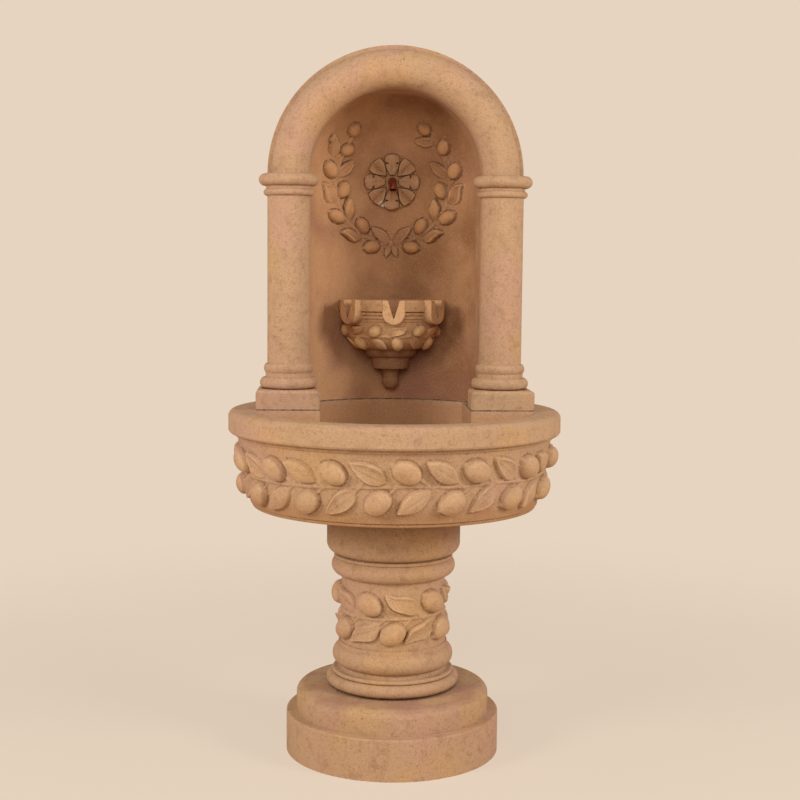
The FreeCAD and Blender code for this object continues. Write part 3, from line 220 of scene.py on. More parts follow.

# %% [markdown]
# ### Cast stone
# Cast stone is cement and crushed stone rammed into a mould. Its patina is a thin stain that is
# brushed on and wiped off: it stays in the grooves as dark lines, and worn edges show pale. The
# recipe mixes wide pink and ochre patches, a fine speckle and small pits, then darkens hollows
# with stain and painted shade. Two Ambient Occlusion nodes find them on the CAD forms: a wide one
# paints golden-brown shade into sheltered places, as under the basin, and a narrow one draws the
# creases in stain and painted shade. On the carving, the press also stores how deep each point
# lies in an attribute, which is finer: its hollows get stain and painted shade, and its crests and
# raised tops are painted pale, partly as wear and partly as a painted highlight.

# %% The stone recipe
# The recipe paints shade into creases and hollows along with the stain, and a highlight onto raised tops
# along with wear.
def stone(name, body, pink, ochre, stain_and_shade, tint_and_shade=None, hollow_shade_and_patina=0.8, deepest_shade_and_patina=(108, 68, 38), top_highlight_and_wear=None):
    """hollow_shade_and_patina scales the darkening of hollows, part real colour and part painted shade;
    top_highlight_and_wear is the colour, share and height of the pale raised tops, part wear and part painted
    highlight.
    """
    f = Finish(name)
    wide = f.noise(5.5, 3.0, 0.55)
    shifted = vector(f.tree, "ADD", f.at, (3.1, 1.7, 0.4))
    other = f.noise(7.5, 2.0, 0.5, shifted)
    mottle = f.noise(38.0, 4.0, 0.6)
    speck = f.noise(420.0, 2.0, 0.6)
    fine = f.noise(1500.0, 1.0, 0.5)
    colour = f.mix(wide.over(0.46, 0.64) * 0.7, body, pink)
    colour = f.mix(other.over(0.5, 0.7) * 0.5, colour, ochre)
    colour = f.mix(mottle.over(0.48, 0.75) * 0.3, colour, stain_and_shade)
    colour = f.mix(f.noise(130.0, 3.0, 0.65).over(0.5, 0.72) * 0.32, colour, stain_and_shade)
    if tint_and_shade:
        colour = tint_and_shade(f, colour)
    ao = lambda reach: 1 - f.node("ShaderNodeAmbientOcclusion", {"samples": 8}, {"Distance": reach}, "AO")
    fact = lambda label: f.node("ShaderNodeAttribute", {"attribute_name": label}, None, "Fac")
    wide_shade, crease_shade_and_dirt, recess, proud = ao(0.13), ao(0.014), fact("recess"), fact("height")
    # The carving's raised tops are painted paler: a painted highlight, with some wear.
    if top_highlight_and_wear:
        pale, share, top = top_highlight_and_wear
        colour = f.mix(proud.over(0.3 * top, top) * mottle.over(0.1, 0.5) * share, colour, pale)
    broken = 0.65 + 0.7 * mottle
    # Painted shade: sheltered places, as under the basin and the arch, are darkened golden brown by the wide
    # occlusion.
    golden_shade = f.mix(0.5, f.mix(1.0, colour, linear(190, 148, 98), "MULTIPLY"), linear(138, 92, 48))
    colour = f.mix((wide_shade.over(0.55, 1.0) * 0.5).clamped(), colour, golden_shade)
    # Creases and carved hollows take the stain colour: partly patina, partly painted shade.
    colour = f.mix((crease_shade_and_dirt.over(0.4, 0.9) * broken * hollow_shade_and_patina * 0.8).clamped(), colour, stain_and_shade)
    colour = f.mix((recess.over(0.08, 0.8) * broken * hollow_shade_and_patina).clamped(), colour, stain_and_shade)
    # The deepest creases and hollows are painted darker still: painted shade, with some patina.
    darkest_hollows_shade_and_patina = (crease_shade_and_dirt.over(0.7, 1.0) * 0.35 + recess.over(0.5, 1.5)).clamped()
    colour = f.mix((darkest_hollows_shade_and_patina * broken * 0.75).clamped(), colour, linear(*deepest_shade_and_patina))
    # Crests are painted paler: partly wear, partly a painted highlight.
    wear_and_highlight = (0 - recess).over(0.05, 0.6) * mottle.over(0.3, 0.55)
    colour = f.mix(wear_and_highlight * 0.4, colour, linear(226, 190, 150))
    pits = f.node("ShaderNodeTexVoronoi", {"feature": "F1"},
                  {"Vector": f.at, "Scale": 110.0, "Randomness": 1.0})
    pit = (1 - pits.over(0.05, 0.2)) * f.noise(24.0, 2.0).over(0.5, 0.68)
    colour = f.mix(pit * 0.6, colour, stain_and_shade)
    colour = f.mix(speck.over(0.55, 0.7) * 0.3, colour, linear(118, 82, 52))
    dust = speck.over(0.46, 0.32) * (0.2 + 0.35 * (recess.over(0.02, 0.2) + crease_shade_and_dirt.over(0.2, 0.5)).clamped())
    colour = f.mix(dust.clamped(), colour, linear(226, 202, 172))
    height = mottle * 1.6 + speck * 0.7 + fine * 0.3 - pit * 1.3
    normal = f.bump(height, 0.75, 0.0016)
    return f.shade(Base_Color=colour, Roughness=0.76 + 0.16 * speck, Normal=normal,
                   Specular_IOR_Level=0.3)


def settled_stain_and_shadow(f, colour):
    """Golden brown where water and dust settle: the basin's lip and inside and the tier's top. The
    pedestal's head below the basin gets a painted golden-brown shadow of the basin. The numbers are
    heights above the floor and distances from the axis, in metres."""
    x, y, z = (f.at.axis(name) for name in "XYZ")
    away = vector(f.tree, "LENGTH", f.node("ShaderNodeCombineXYZ", None, {"X": x, "Y": y}), out="Value")
    wobble = f.noise(16.0, 3.0) * 0.02
    lip = (1 - (z + wobble).over(0.556, 0.61)) * z.over(0.53, 0.54) * away.over(0.26, 0.28) * 0.6
    # Painted shadow: the pedestal's head below the basin, where the basin's shade falls.
    basin_shadow = z.over(0.475, 0.53) * (1 - z.over(0.5385, 0.54)) * (1 - away.over(0.15, 0.16)) * 0.8
    inside = 1 - (away + wobble * 0.2).over(0.297, 0.304)
    inside = inside * z.over(0.565, 0.58) * (1 - z.over(0.728, 0.744)) * 0.75
    colour = f.mix(lip, colour, linear(158, 106, 58))
    colour = f.mix(inside, colour, linear(186, 138, 98))
    top = z.over(0.128, 0.137) * (1 - z.over(0.143, 0.144)) * f.noise(12.0, 3.0).over(0.4, 0.65)
    colour = f.mix(top * 0.5, colour, linear(156, 112, 92))
    # The painted shadow of the basin goes on last, in dark golden brown.
    return f.mix(basin_shadow, colour, linear(116, 71, 29))


tan, pink_tan = linear(188, 150, 115), linear(190, 146, 122)
ochre_tan, brown = linear(197, 154, 101), linear(124, 82, 48)
# Its raised tops get a faint painted highlight with wear, and its hollows get stain with painted shade.
cast_stone = stone("cast_stone_finish", tan, pink_tan, ochre_tan, brown, settled_stain_and_shadow, 0.8,
                   top_highlight_and_wear=(linear(210, 164, 120), 0.25, 20 * mm))
print("cast stone nodes", len(cast_stone.node_tree.nodes))

# %% [markdown]
# ### The niche's brown patina and painted shade
# Inside the niche the stain was left thick, so it is brown, and its columns and arch are tan as
# the rest. The brown is darker towards the right, the dome's top carries painted shade under the
# arch, and a painted shadow of the bowl, with some stain, darkens the wall round it. The mask asks
# how far a point lies inside the arch's opening and behind the columns, which is plain geometry
# and so holds from every side.

# %% The niche's and the bowl's stone
SPRING_Z, NICHE_HALF, NICHE_FRONT = 1.243, 0.185, 0.0245
BOWL_MIDDLE_Z = 0.885


def niche_patina_and_shade(f, colour):
    x, y, z = (f.at.axis(name) for name in "XYZ")
    joined_up = lambda values: f.node("ShaderNodeCombineXYZ", None, dict(enumerate(values)))
    span = lambda *values: vector(f.tree, "LENGTH", joined_up(values), out="Value")
    across = span(x, (z - SPRING_Z).larger(0.0))
    wobble = f.noise(14.0, 3.0) * 0.012
    inside = 1 - (across + wobble).over(NICHE_HALF + 0.002, NICHE_HALF + 0.012)
    behind = (y + wobble).over(NICHE_FRONT + 0.004, NICHE_FRONT + 0.045)
    cloud = f.noise(9.0, 3.0, 0.6).over(0.3, 0.7)
    # Darker towards the right; towards the dome's top the darkening is painted shade under the arch.
    darker_right_and_top_shade = x.over(-0.2, 0.2) * 0.72 + (z - 1.3).over(0.0, 0.12) * 0.35 + (cloud - 0.5) * 0.45
    # Round the bowl the wall is painted darker: a painted shadow of the bowl, with some stain.
    bowl_shadow_and_stain = 1 - (span(x, (z - BOWL_MIDDLE_Z) * 1.35) + wobble * 2).over(0.09, 0.16)
    brown_wall = f.mix(darker_right_and_top_shade.clamped(), linear(200, 152, 110), linear(136, 90, 54))
    rosy = f.mix(f.noise(6.0, 2.0).over(0.5, 0.68) * 0.6, brown_wall, linear(152, 102, 84))
    # The bowl's painted shadow, with its stain, is the dark brown (98, 60, 42).
    return f.mix(inside * behind * 0.96, colour, f.mix(bowl_shadow_and_stain * 0.55, rosy, linear(98, 60, 42)))


def bowl_foot(f, colour):
    """The turned stem below the carved bell is darker."""
    return f.mix((1 - f.at.axis("Z").over(0.852, 0.872)) * 0.6, colour, linear(112, 72, 46))


def pebble(f, colour):
    """One pale pebble near the rosette's lower left edge."""
    away = vector(f.tree, "DISTANCE", f.at, (-0.0225, 0.208, 1.1895), out="Value")
    return f.mix(1 - away.over(0.007, 0.01), colour, linear(214, 200, 180))


# The wreath's raised tops get a painted highlight, and its hollows get dark stain with painted shade.
niche_stone = stone("niche_stone_finish", tan, pink_tan, ochre_tan, brown, niche_patina_and_shade, 1.1, (66, 36, 20),
                    (linear(214, 158, 102), 0.5, 17 * mm))
# The bowl's fruit tops get a strong painted highlight, and its hollows get dark stain with painted shade.
bowl_stone = stone("bowl_stone_finish", linear(204, 158, 114), linear(200, 150, 118),
                   linear(212, 168, 108), linear(98, 58, 32), bowl_foot, 1.1, (60, 34, 18),
                   (linear(240, 198, 138), 0.6, 11 * mm))
# The rosette's raised tops get a painted highlight, and its grooves get dark stain with painted shade.
rosette_stone = stone("rosette_stone_finish", linear(166, 120, 78), linear(176, 130, 104),
                      linear(172, 124, 72), linear(86, 48, 24), pebble, 0.9, (60, 32, 16),
                      (linear(204, 166, 130), 0.6, 10 * mm))
print("stone finishes", [m.name for m in (cast_stone, niche_stone, bowl_stone, rosette_stone)])

# %% [markdown]
# ### Metals, rubber and plastics
# The small parts need plainer finishes, but none is a single flat colour: each has a cloud of
# tarnish or dust, a grain that changes its roughness, and a slight bump.

# %% The other finishes
def plain(name, colour, cloud, rough, spread, metal=0.0, scale=60.0, grain=900.0, bump=0.15):
    f = Finish(name)
    patch = f.noise(scale, 4.0, 0.6)
    fine = f.noise(grain, 2.0, 0.6)
    mixed = f.mix(patch.over(0.38, 0.68), colour, cloud)
    mixed = f.mix(fine.over(0.55, 0.8) * 0.25, mixed, cloud)
    roughness = (rough + spread * patch + 0.08 * fine).clamped()
    return f.shade(Base_Color=mixed, Roughness=roughness, Metallic=metal,
                   Normal=f.bump(fine + patch * 0.5, bump, 0.0004))


finishes = {
    "mortar": plain("mortar_finish", linear(140, 112, 88), linear(92, 68, 48), 0.85, 0.1, 0, 90, 700, 0.9),
    "steel": plain("steel_finish", linear(196, 196, 192), linear(160, 160, 156), 0.26, 0.2, 1, 30, 1400),
    "brass": plain("brass_finish", linear(196, 160, 92), linear(128, 94, 52), 0.3, 0.3, 1, 80, 1200),
    "copper": plain("copper_finish", linear(164, 94, 68), linear(104, 50, 32), 0.2, 0.22, 0.8, 110, 1200),
    "rubber": plain("rubber_finish", linear(34, 34, 34), linear(58, 55, 52), 0.6, 0.25, 0, 50, 1500, 0.3),
    "hose_vinyl": plain("vinyl_finish", linear(38, 38, 40), linear(62, 60, 58), 0.3, 0.2, 0, 40, 1000),
    "pump_plastic": plain("pump_finish", linear(34, 35, 38), linear(56, 56, 56), 0.42, 0.2, 0, 35, 2200, 0.4),
    "dial_plastic": plain("dial_finish", linear(88, 96, 104), linear(112, 116, 118), 0.4, 0.2, 0, 70,
                          2000, 0.3),
    "impeller_plastic": plain("impeller_finish", linear(222, 220, 212), linear(190, 184, 170), 0.35,
                              0.2, 0, 90),
    "ferrite": plain("ferrite_finish", linear(80, 80, 84), linear(52, 50, 50), 0.5, 0.25, 0.6, 120,
                     2400, 0.4),
    "shaft_ceramic": plain("ceramic_finish", linear(236, 234, 226), linear(214, 210, 200), 0.2, 0.1, 0, 60),
    "cast_stone": cast_stone, "niche_stone": niche_stone, "rosette_stone": rosette_stone,
}
slot_of = {row["node"]: row["material_slot"] for row in frame["record"]["subparts"]}
for name, node in frame["nodes"].items():
    for place in node.material_slots:
        place.material = finishes[slot_of[name]]
print("finishes on the CAD nodes", len(finishes))

# %% [markdown]
# ## Motifs
# The carving repeats a few shapes: a lemon with a pointed tip, and leaves that are dished, folded
# or nearly flat. Each motif is a small height field on its own outline, root at -X and tip at +X.
# Only the press below looks at them, so they may be open underneath.

# %% Lemons and leaves
def plain_mesh(name, points, faces):
    mesh = bpy.data.meshes.new(name)
    mesh.from_pydata(points, [], faces)
    return mesh


def grid_faces(rows, columns, start=0):
    """The faces between the points of a grid whose first point has the number start."""
    return [(start + i * columns + j, start + (i + 1) * columns + j, start + (i + 1) * columns + j + 1,
             start + i * columns + j + 1) for i in range(rows - 1) for j in range(columns - 1)]


def motif(group, name, length, width, half, middle, height, stalk, rows=40, columns=24):
    """half, middle and height are functions of the place along the motif, and stalk is the length
    and radius of the stalk at its root."""
    s, t = np.meshgrid(np.linspace(0, 1, rows), np.linspace(-1, 1, columns), indexing="ij")
    x, y = (s - 0.5) * length, middle(s) * width + t * half(s) * width / 2
    z = height(s, t)
    z[:, 0] = z[:, -1] = -4 * mm
    points = np.stack([x, y, z], axis=-1).reshape(-1, 3)
    faces = grid_faces(rows, columns)
    rib_rows, rib_columns = 10, 7
    u, v = np.meshgrid(np.linspace(0, 1, rib_rows), np.linspace(0, np.pi, rib_columns), indexing="ij")
    stalk_length, stalk_radius = stalk
    rib = stalk_radius * (1 - 0.25 * u)
    ribs = np.stack([-length / 2 + 4 * mm - stalk_length * (1 - u),
                     rib * np.cos(v) - 3 * mm * (1 - u) ** 2, rib * 1.3 * np.sin(v)], axis=-1)
    faces += grid_faces(rib_rows, rib_columns, len(points))
    points = np.concatenate([points, ribs.reshape(-1, 3)])
    piece = bpy.data.objects.new(name, plain_mesh(name, points.tolist(), faces))
    group.objects.link(piece)
    return piece


def leaf_half(s, waist):
    """A waist under 1 puts the leaf's widest place nearer to its root."""
    return np.sin(np.pi * np.clip(s, 0, 1) ** waist) ** 0.8


def lemon_half(s):
    body = np.sqrt(np.clip(1 - ((s - 0.45) / 0.45) ** 2, 0, 1))
    tip = 0.62 * np.clip((1 - s) / 0.26, 0, 1) ** 0.9 * (s > 0.5)
    return np.maximum(body, tip)


def straight(s):
    return 0 * s


def curved(s):
    return 0.12 * np.sin(2 * np.pi * s)


def hill(t, width):
    return np.exp(-(t / width) ** 2)


def make_motifs(prefix, fruit_size, leaf_size, stalk):
    """A set of lemons and a set of leaves, each in a collection. A size is length, width, height."""
    length, width, proud = fruit_size
    fruit = bpy.data.collections.new(prefix + "_fruit")
    for k, lean in enumerate((0.0, 0.08)):
        round_top = lambda t: np.sqrt(np.clip(1 - (t - lean) ** 2, 0, 1))
        motif(fruit, f"{prefix}_fruit_{k}", length, width, lemon_half, straight,
              lambda s, t: proud * lemon_half(s) ** 0.75 * round_top(t) + 0.4 * mm, stalk)
    length, width, proud = leaf_size
    leaves = bpy.data.collections.new(prefix + "_leaves")
    taper = lambda s: 0.34 + 0.66 * np.sin(np.pi / 2 * np.clip(s / 0.5, 0, 1)) ** 1.5
    dished = lambda s, t: proud * taper(s) * (0.5 + 0.5 * np.abs(t) ** 2.4 + 0.14 * hill(t, 0.1))
    folded = lambda s, t: proud * taper(s) * (0.8 + 0.26 * t * np.sin(np.pi * s) - 0.2 * hill(t, 0.16))
    flat = lambda s, t: proud * taper(s) * (1.05 - 0.35 * t ** 2 - 0.14 * hill(t, 0.09))
    turned = lambda s, t: proud * taper(s) * (0.45 + 0.6 * np.abs(t - 0.35) ** 1.4)
    for k, (height, middle, waist) in enumerate(((dished, straight, 0.72), (folded, curved, 0.8),
                                                 (flat, straight, 0.9), (turned, curved, 0.68))):
        motif(leaves, f"{prefix}_leaf_{k}", length, width, lambda s: leaf_half(s, waist), middle,
              height, stalk)
    return fruit, leaves


frieze_fruit, frieze_leaves = make_motifs(
    "frieze", (65 * mm, 48 * mm, 23 * mm), (79 * mm, 40 * mm, 13 * mm), (26 * mm, 3 * mm))
wreath_fruit, wreath_leaves = make_motifs(
    "wreath", (42 * mm, 29 * mm, 18 * mm), (50 * mm, 24 * mm, 14 * mm), (13 * mm, 3 * mm))
bowl_fruit, bowl_leaves = make_motifs(
    "bowl", (34 * mm, 25 * mm, 11 * mm), (41 * mm, 20 * mm, 7 * mm), (12 * mm, 2 * mm))

# %% [markdown]
# ## The garland
# Fruit and leaves sit along a stem at even steps, a row on each side of it, tips leaning away.
# That is a rule, and Geometry Nodes follow rules well: the tree samples the stem curve at each
# step, turns a motif to the stem's direction plus its lean, and varies size and angle a little
# from a fixed seed. The result is only a layout in a flat plane.

# %% The garland tree
def open_tree(name, inputs):
    """A new geometry tree, and its inputs by name, each given as a name, a kind and a default."""
    tree = bpy.data.node_groups.new(name, "GeometryNodeTree")
    source = tree.nodes.new("NodeGroupInput")
    get = {}
    for label, kind, default in inputs:
        socket = tree.interface.new_socket(label, in_out="INPUT", socket_type="NodeSocket" + kind)
        if default is not None:
            socket.default_value = default
        get[label] = Term(tree, pick(source.outputs, label))
    return tree, get


def close_tree(tree, geometry, material):
    """Ends a tree with real geometry that wears its finish."""
    real = add_node(tree, "GeometryNodeRealizeInstances", None, {0: geometry})
    last = add_node(tree, "GeometryNodeSetMaterial", None, {"Geometry": real, "Material": material})
    tree.interface.new_socket("Geometry", in_out="OUTPUT", socket_type="NodeSocketGeometry")
    sink = tree.nodes.new("NodeGroupOutput")
    tree.links.new(last.socket, sink.inputs[0])
    return tree


def garland_row(tree, get, curve, side, row):
    """One row of motifs on one side of the stem: left is 1 and right is -1."""
    first, phase, step = (get[row + name] for name in (" First", " Phase", " Step"))
    index = add_node(tree, "GeometryNodeInputIndex")
    chance = lambda low, high, salt: add_node(tree, "FunctionNodeRandomValue", {"data_type": "FLOAT"},
                                              {"Min": low, "Max": high, "ID": index,
                                               "Seed": get["Seed"] + (salt + 7 * side)})
    along = first + index * step + chance(-1.0, 1.0, 1) * get["Jitter"] * step
    whole = add_node(tree, "GeometryNodeCurveLength", None, {"Curve": curve}, "Length")
    on_stem = (whole - along).over(0.0, 1e-5)
    sample = {"mode": "LENGTH", "data_type": "FLOAT"}
    made = add_node(tree, "GeometryNodeSampleCurve", sample, {"Curves": curve, "Length": along}, "Position")
    tangent = Term(tree, pick(made.socket.node.outputs, "Tangent"))
    normal = vector(tree, "CROSS_PRODUCT", (0.0, 0.0, 1.0), tangent)
    shift = vector(tree, "SCALE", normal, Scale=get["Offset"] * side)
    place = vector(tree, "ADD", made, shift)
    heading = tangent.maths("ARCTAN2", tangent.axis("Y"), tangent.axis("X"))
    turn = heading + get["Lean"] * side + chance(-1.0, 1.0, 2) * get["Jitter"] * 1.2
    rotation = add_node(tree, "ShaderNodeCombineXYZ", None, {"Z": turn})
    size = 1 + chance(-1.0, 1.0, 3) * get["Jitter"] * 0.8
    scale = add_node(tree, "ShaderNodeCombineXYZ", None, {"X": size, "Y": size * side, "Z": size})
    points = add_node(tree, "GeometryNodePoints", None,
                      {"Count": get["Count"], "Position": place, "Radius": 1 * mm})
    odd = index.maths("MODULO", index + phase, 2.0)
    rows = []
    present = on_stem * (get["Right Row"] if side < 0 else 1.0)
    for source, chosen in (("Fruit", (1 - odd) * present), ("Leaves", odd * present)):
        which = add_node(tree, "FunctionNodeRandomValue", {"data_type": "INT"},
                         {"Min": 0, "Max": 9, "ID": index, "Seed": get["Seed"] + 20 * side})
        rows.append(add_node(tree, "GeometryNodeInstanceOnPoints", None,
                             {"Points": points, "Selection": chosen, "Instance": get[source],
                              "Pick Instance": True, "Instance Index": which,
                              "Rotation": rotation, "Scale": scale}))
    return rows


def garland_tree():
    tree, get = open_tree("garland", (
        ("Stem", "Object", None), ("Fruit", "Collection", None), ("Leaves", "Collection", None),
        ("Left First", "Float", 0.0), ("Left Phase", "Float", 0.0), ("Left Step", "Float", 60 * mm),
        ("Right First", "Float", 0.0), ("Right Phase", "Float", 0.0), ("Right Step", "Float", 60 * mm),
        ("Right Row", "Float", 1.0), ("Count", "Int", 10), ("Offset", "Float", 30 * mm),
        ("Lean", "Float", 0.5), ("Jitter", "Float", 0.05), ("Stem Radius", "Float", 4 * mm),
        ("Seed", "Int", 1), ("Material", "Material", None)))
    curve = add_node(tree, "GeometryNodeObjectInfo", None, {"Object": get["Stem"]}, "Geometry")
    for name in ("Fruit", "Leaves"):
        get[name] = add_node(tree, "GeometryNodeCollectionInfo", None,
                             {"Collection": get[name], "Separate Children": True, "Reset Children": True})
    ring = add_node(tree, "GeometryNodeCurvePrimitiveCircle", None,
                    {"Resolution": 12, "Radius": get["Stem Radius"]})
    stem = add_node(tree, "GeometryNodeCurveToMesh", None, {"Curve": curve, "Profile Curve": ring})
    parts = [stem] + garland_row(tree, get, curve, 1.0, "Left") + garland_row(tree, get, curve, -1.0, "Right")
    joined = tree.nodes.new("GeometryNodeJoinGeometry")
    for part in parts:
        tree.links.new(part.socket, joined.inputs[0])
    return close_tree(tree, Term(tree, joined.outputs[0]), get["Material"])


def grown(tree, name, settings, mesh=None):
    """Runs a tree on a new object and keeps its result as a plain mesh object."""
    holder = placed(name + "_grower", mesh or bpy.data.meshes.new(name))
    modifier = holder.modifiers.new("grow", "NODES")
    modifier.node_group = tree
    for item in tree.interface.items_tree:
        if item.in_out == "INPUT" and item.name in settings:
            modifier[item.identifier] = settings[item.name]
    holder.update_tag()
    graph = bpy.context.evaluated_depsgraph_get()
    result = bpy.data.meshes.new_from_object(holder.evaluated_get(graph), preserve_all_data_layers=True,
                                             depsgraph=graph)
    discard(holder)
    result.name = name
    return placed(name, result)


garland = garland_tree()
print("garland inputs", [i.name for i in garland.interface.items_tree])

# %% [markdown]
# ## The relief press
# A casting's carving is one skin: fruit, leaves and ground flow into each other. So the press
# lays a fine sheet over the layout, drops a ray at every point and lifts the sheet to what the ray
# meets. A blur rounds the skin as a worn mould would. The difference between a wide blur and the
# height tells hollows from crests, and is stored for the finish. Each point also carries where it
# belongs on the real wall, so the last node bends the flat relief onto the basin, the pedestal,
# the bowl or the niche.

# %% The press tree
def press_tree():
    tree, get = open_tree("relief_press", (
        ("Sheet", "Geometry", None), ("Layout", "Object", None), ("Soften", "Int", 1),
        ("Hollow Width", "Int", 6), ("Hollow Depth", "Float", 4 * mm), ("Unevenness", "Float", 0.4 * mm),
        ("Material", "Material", None)))
    layout = add_node(tree, "GeometryNodeObjectInfo", None, {"Object": get["Layout"]}, "Geometry")
    at = add_node(tree, "GeometryNodeInputPosition")
    high = 0.1
    start = vector(tree, "ADD", at, (0.0, 0.0, high))
    hit = add_node(tree, "GeometryNodeRaycast", None,
                   {"Target Geometry": layout, "Source Position": start, "Ray Direction": (0.0, 0.0, -1.0),
                    "Ray Length": high}, "Is Hit")
    place = Term(tree, pick(hit.socket.node.outputs, "Hit Position"))
    named = lambda name, kind: add_node(tree, "GeometryNodeInputNamedAttribute", {"data_type": kind},
                                        {"Name": name}, "Attribute")
    carry = named("carry", "FLOAT")
    raw = hit * place.axis("Z") * carry
    blur = lambda value, turns: add_node(tree, "GeometryNodeBlurAttribute", {"data_type": "FLOAT"},
                                         {"Value": value, "Iterations": turns}, "Value")
    store = lambda mesh, name, value: add_node(tree, "GeometryNodeStoreNamedAttribute",
                                               {"data_type": "FLOAT", "domain": "POINT"},
                                               {"Geometry": mesh, "Name": name, "Value": value})
    mesh = store(get["Sheet"], "height", raw)
    mesh = store(mesh, "height", blur(named("height", "FLOAT"), get["Soften"]))
    height = named("height", "FLOAT")
    recess = (blur(height, get["Hollow Width"]) - height) / get["Hollow Depth"]
    mesh = store(mesh, "recess", recess * carry)
    wave = add_node(tree, "ShaderNodeTexNoise", None,
                    {"Vector": named("place", "FLOAT_VECTOR"), "Scale": 45.0, "Detail": 2.0}) - 0.5
    lift = (height + wave * get["Unevenness"] * 2) * carry
    out = vector(tree, "SCALE", named("outward", "FLOAT_VECTOR"), Scale=lift)
    target = vector(tree, "ADD", named("place", "FLOAT_VECTOR"), out)
    bent = add_node(tree, "GeometryNodeSetPosition", None, {"Geometry": mesh, "Position": target})
    return close_tree(tree, bent, get["Material"])


press = press_tree()
print("press nodes", len(press.nodes))

# %% [markdown]
# ## Sheets for the press
# A sheet is a grid whose points know three things: where they lie in the flat layout, where they
# lie on the wall, and which way is out. A thin back with few points closes it into a solid skin.

# %% The sheet builder
def sheet(name, flat, place, outward, depth, back_columns, wrap=False, first_side=True):
    """flat is (rows, columns, 2), place and outward are (rows, columns, 3), in metres. The border is
    held down, so carry is 0 there and 1 elsewhere."""
    rows, columns = flat.shape[:2]
    back = list(back_columns)
    spots = np.concatenate([place.reshape(-1, 3), (place - outward * depth)[:, back].reshape(-1, 3)])
    outs = np.concatenate([outward.reshape(-1, 3), outward[:, back].reshape(-1, 3)])
    flats = np.zeros((len(spots), 3))
    flats[:, :2] = np.concatenate([flat.reshape(-1, 2), flat[:, back].reshape(-1, 2)])
    carry = np.zeros(len(spots))
    inner = np.ones((rows, columns))
    inner[:, -1] = 0
    if first_side:
        inner[:, 0] = 0
    if not wrap:
        inner[0] = inner[-1] = 0
    carry[:rows * columns] = inner.reshape(-1)
    front_at = lambda i, j: (i % rows) * columns + j
    back_at = lambda i, j: rows * columns + (i % rows) * len(back) + j
    faces = []
    for i in range(rows if wrap else rows - 1):
        faces += [(front_at(i, j), front_at(i + 1, j), front_at(i + 1, j + 1), front_at(i, j + 1))
                  for j in range(columns - 1)]
        faces += [(back_at(i, j), back_at(i, j + 1), back_at(i + 1, j + 1), back_at(i + 1, j))
                  for j in range(len(back) - 1)]
        far = len(back) - 1
        faces.append((front_at(i, columns - 1), front_at(i + 1, columns - 1),
                      back_at(i + 1, far), back_at(i, far)))
        if first_side:
            faces.append((back_at(i, 0), back_at(i + 1, 0), front_at(i + 1, 0), front_at(i, 0)))
    if not wrap:
        for i in (0, rows - 1):
            faces.append(tuple(front_at(i, j) for j in range(columns)) +
                         tuple(back_at(i, j) for j in reversed(range(len(back)))))
    mesh = plain_mesh(name, flats.tolist(), faces)
    for label, values in (("place", spots), ("outward", outs)):
        mesh.attributes.new(label, "FLOAT_VECTOR", "POINT").data.foreach_set("vector", values.reshape(-1))
    mesh.attributes.new("carry", "FLOAT", "POINT").data.foreach_set("value", carry)
    return mesh


NO_LONGER_NEEDED = ("place", "outward", "carry", "custom_normal")


def tidy(piece, sharp, merge=1e-6):
    """Merges doubles, turns all faces outwards and marks edges sharper than the angle. The press's
    helpers go, and so do the normals stored at import, which no longer fit the merged faces."""
    work = bmesh.new()
    work.from_mesh(piece.data)
    bmesh.ops.remove_doubles(work, verts=work.verts, dist=merge)
    bmesh.ops.dissolve_degenerate(work, edges=work.edges, dist=merge)
    bmesh.ops.recalc_face_normals(work, faces=work.faces)
    open_edges = sum(not e.is_manifold for e in work.edges)
    work.to_mesh(piece.data)
    work.free()
    piece.data.shade_smooth()
    piece.data.set_sharp_from_angle(angle=math.radians(sharp))
    for label in NO_LONGER_NEEDED:
        if label in piece.data.attributes:
            piece.data.attributes.remove(piece.data.attributes[label])
    print(piece.name, "faces", len(piece.data.polygons), "open edges", open_edges)
    return piece


def pressed(name, mesh, layout, finish, soften=1, hollow=6, depth=0.004, sharp=75, merge=1e-6):
    piece = grown(press, name, {"Layout": layout, "Soften": soften, "Hollow Width": hollow,
                                "Hollow Depth": depth, "Material": finish}, mesh)
    return tidy(piece, sharp, merge)


def stem_curve(name, points, closed=False):
    curve = bpy.data.curves.new(name, "CURVE")
    curve.dimensions = "3D"
    line = curve.splines.new("POLY")
    line.points.add(len(points) - 1)
    line.points.foreach_set("co", [c for x, y in points for c in (x, y, 0.0, 1.0)])
    line.use_cyclic_u = closed
    return placed(name, curve)


print("sheet builder ready")

# %% [markdown]
# ## Room for the carving
# The CAD castings already hold plain fruit. A merged copy of each casting is turned down by a few
# millimetres where the carving goes, as on a lathe, with a Boolean that takes a ring-shaped tool.
# The carved sheet then fills that recess, flush at its edges. An imported casting brings its own
# normals along. On merged faces they draw false light and dark triangles, so the copy drops them.

# %% Turning tools
ROOM_DEPTH = 4 * mm


def lathe_tool(name, outline, centre_y=0.0, steps=192):
    """A closed ring from an outline of (radius, height) corners, turned round a vertical axis."""
    turn = np.arange(steps) * 2 * np.pi / steps
    corners = np.array(outline)
    points = [(r * math.sin(a), centre_y - r * math.cos(a), z) for a in turn for r, z in corners]
    count = len(corners)
    faces = [(i * count + j, ((i + 1) % steps) * count + j, ((i + 1) % steps) * count + (j + 1) % count,
              i * count + (j + 1) % count) for i in range(steps) for j in range(count)]
    return tidy(placed(name, plain_mesh(name, points, faces)), 30)


def merged_copy(node, name):
    """A welded copy of a CAD node, without the normals that it was imported with."""
    piece = placed(name, frame["nodes"][node].data.copy())
    piece.data.name = name
    return tidy(piece, 40, 2e-6)


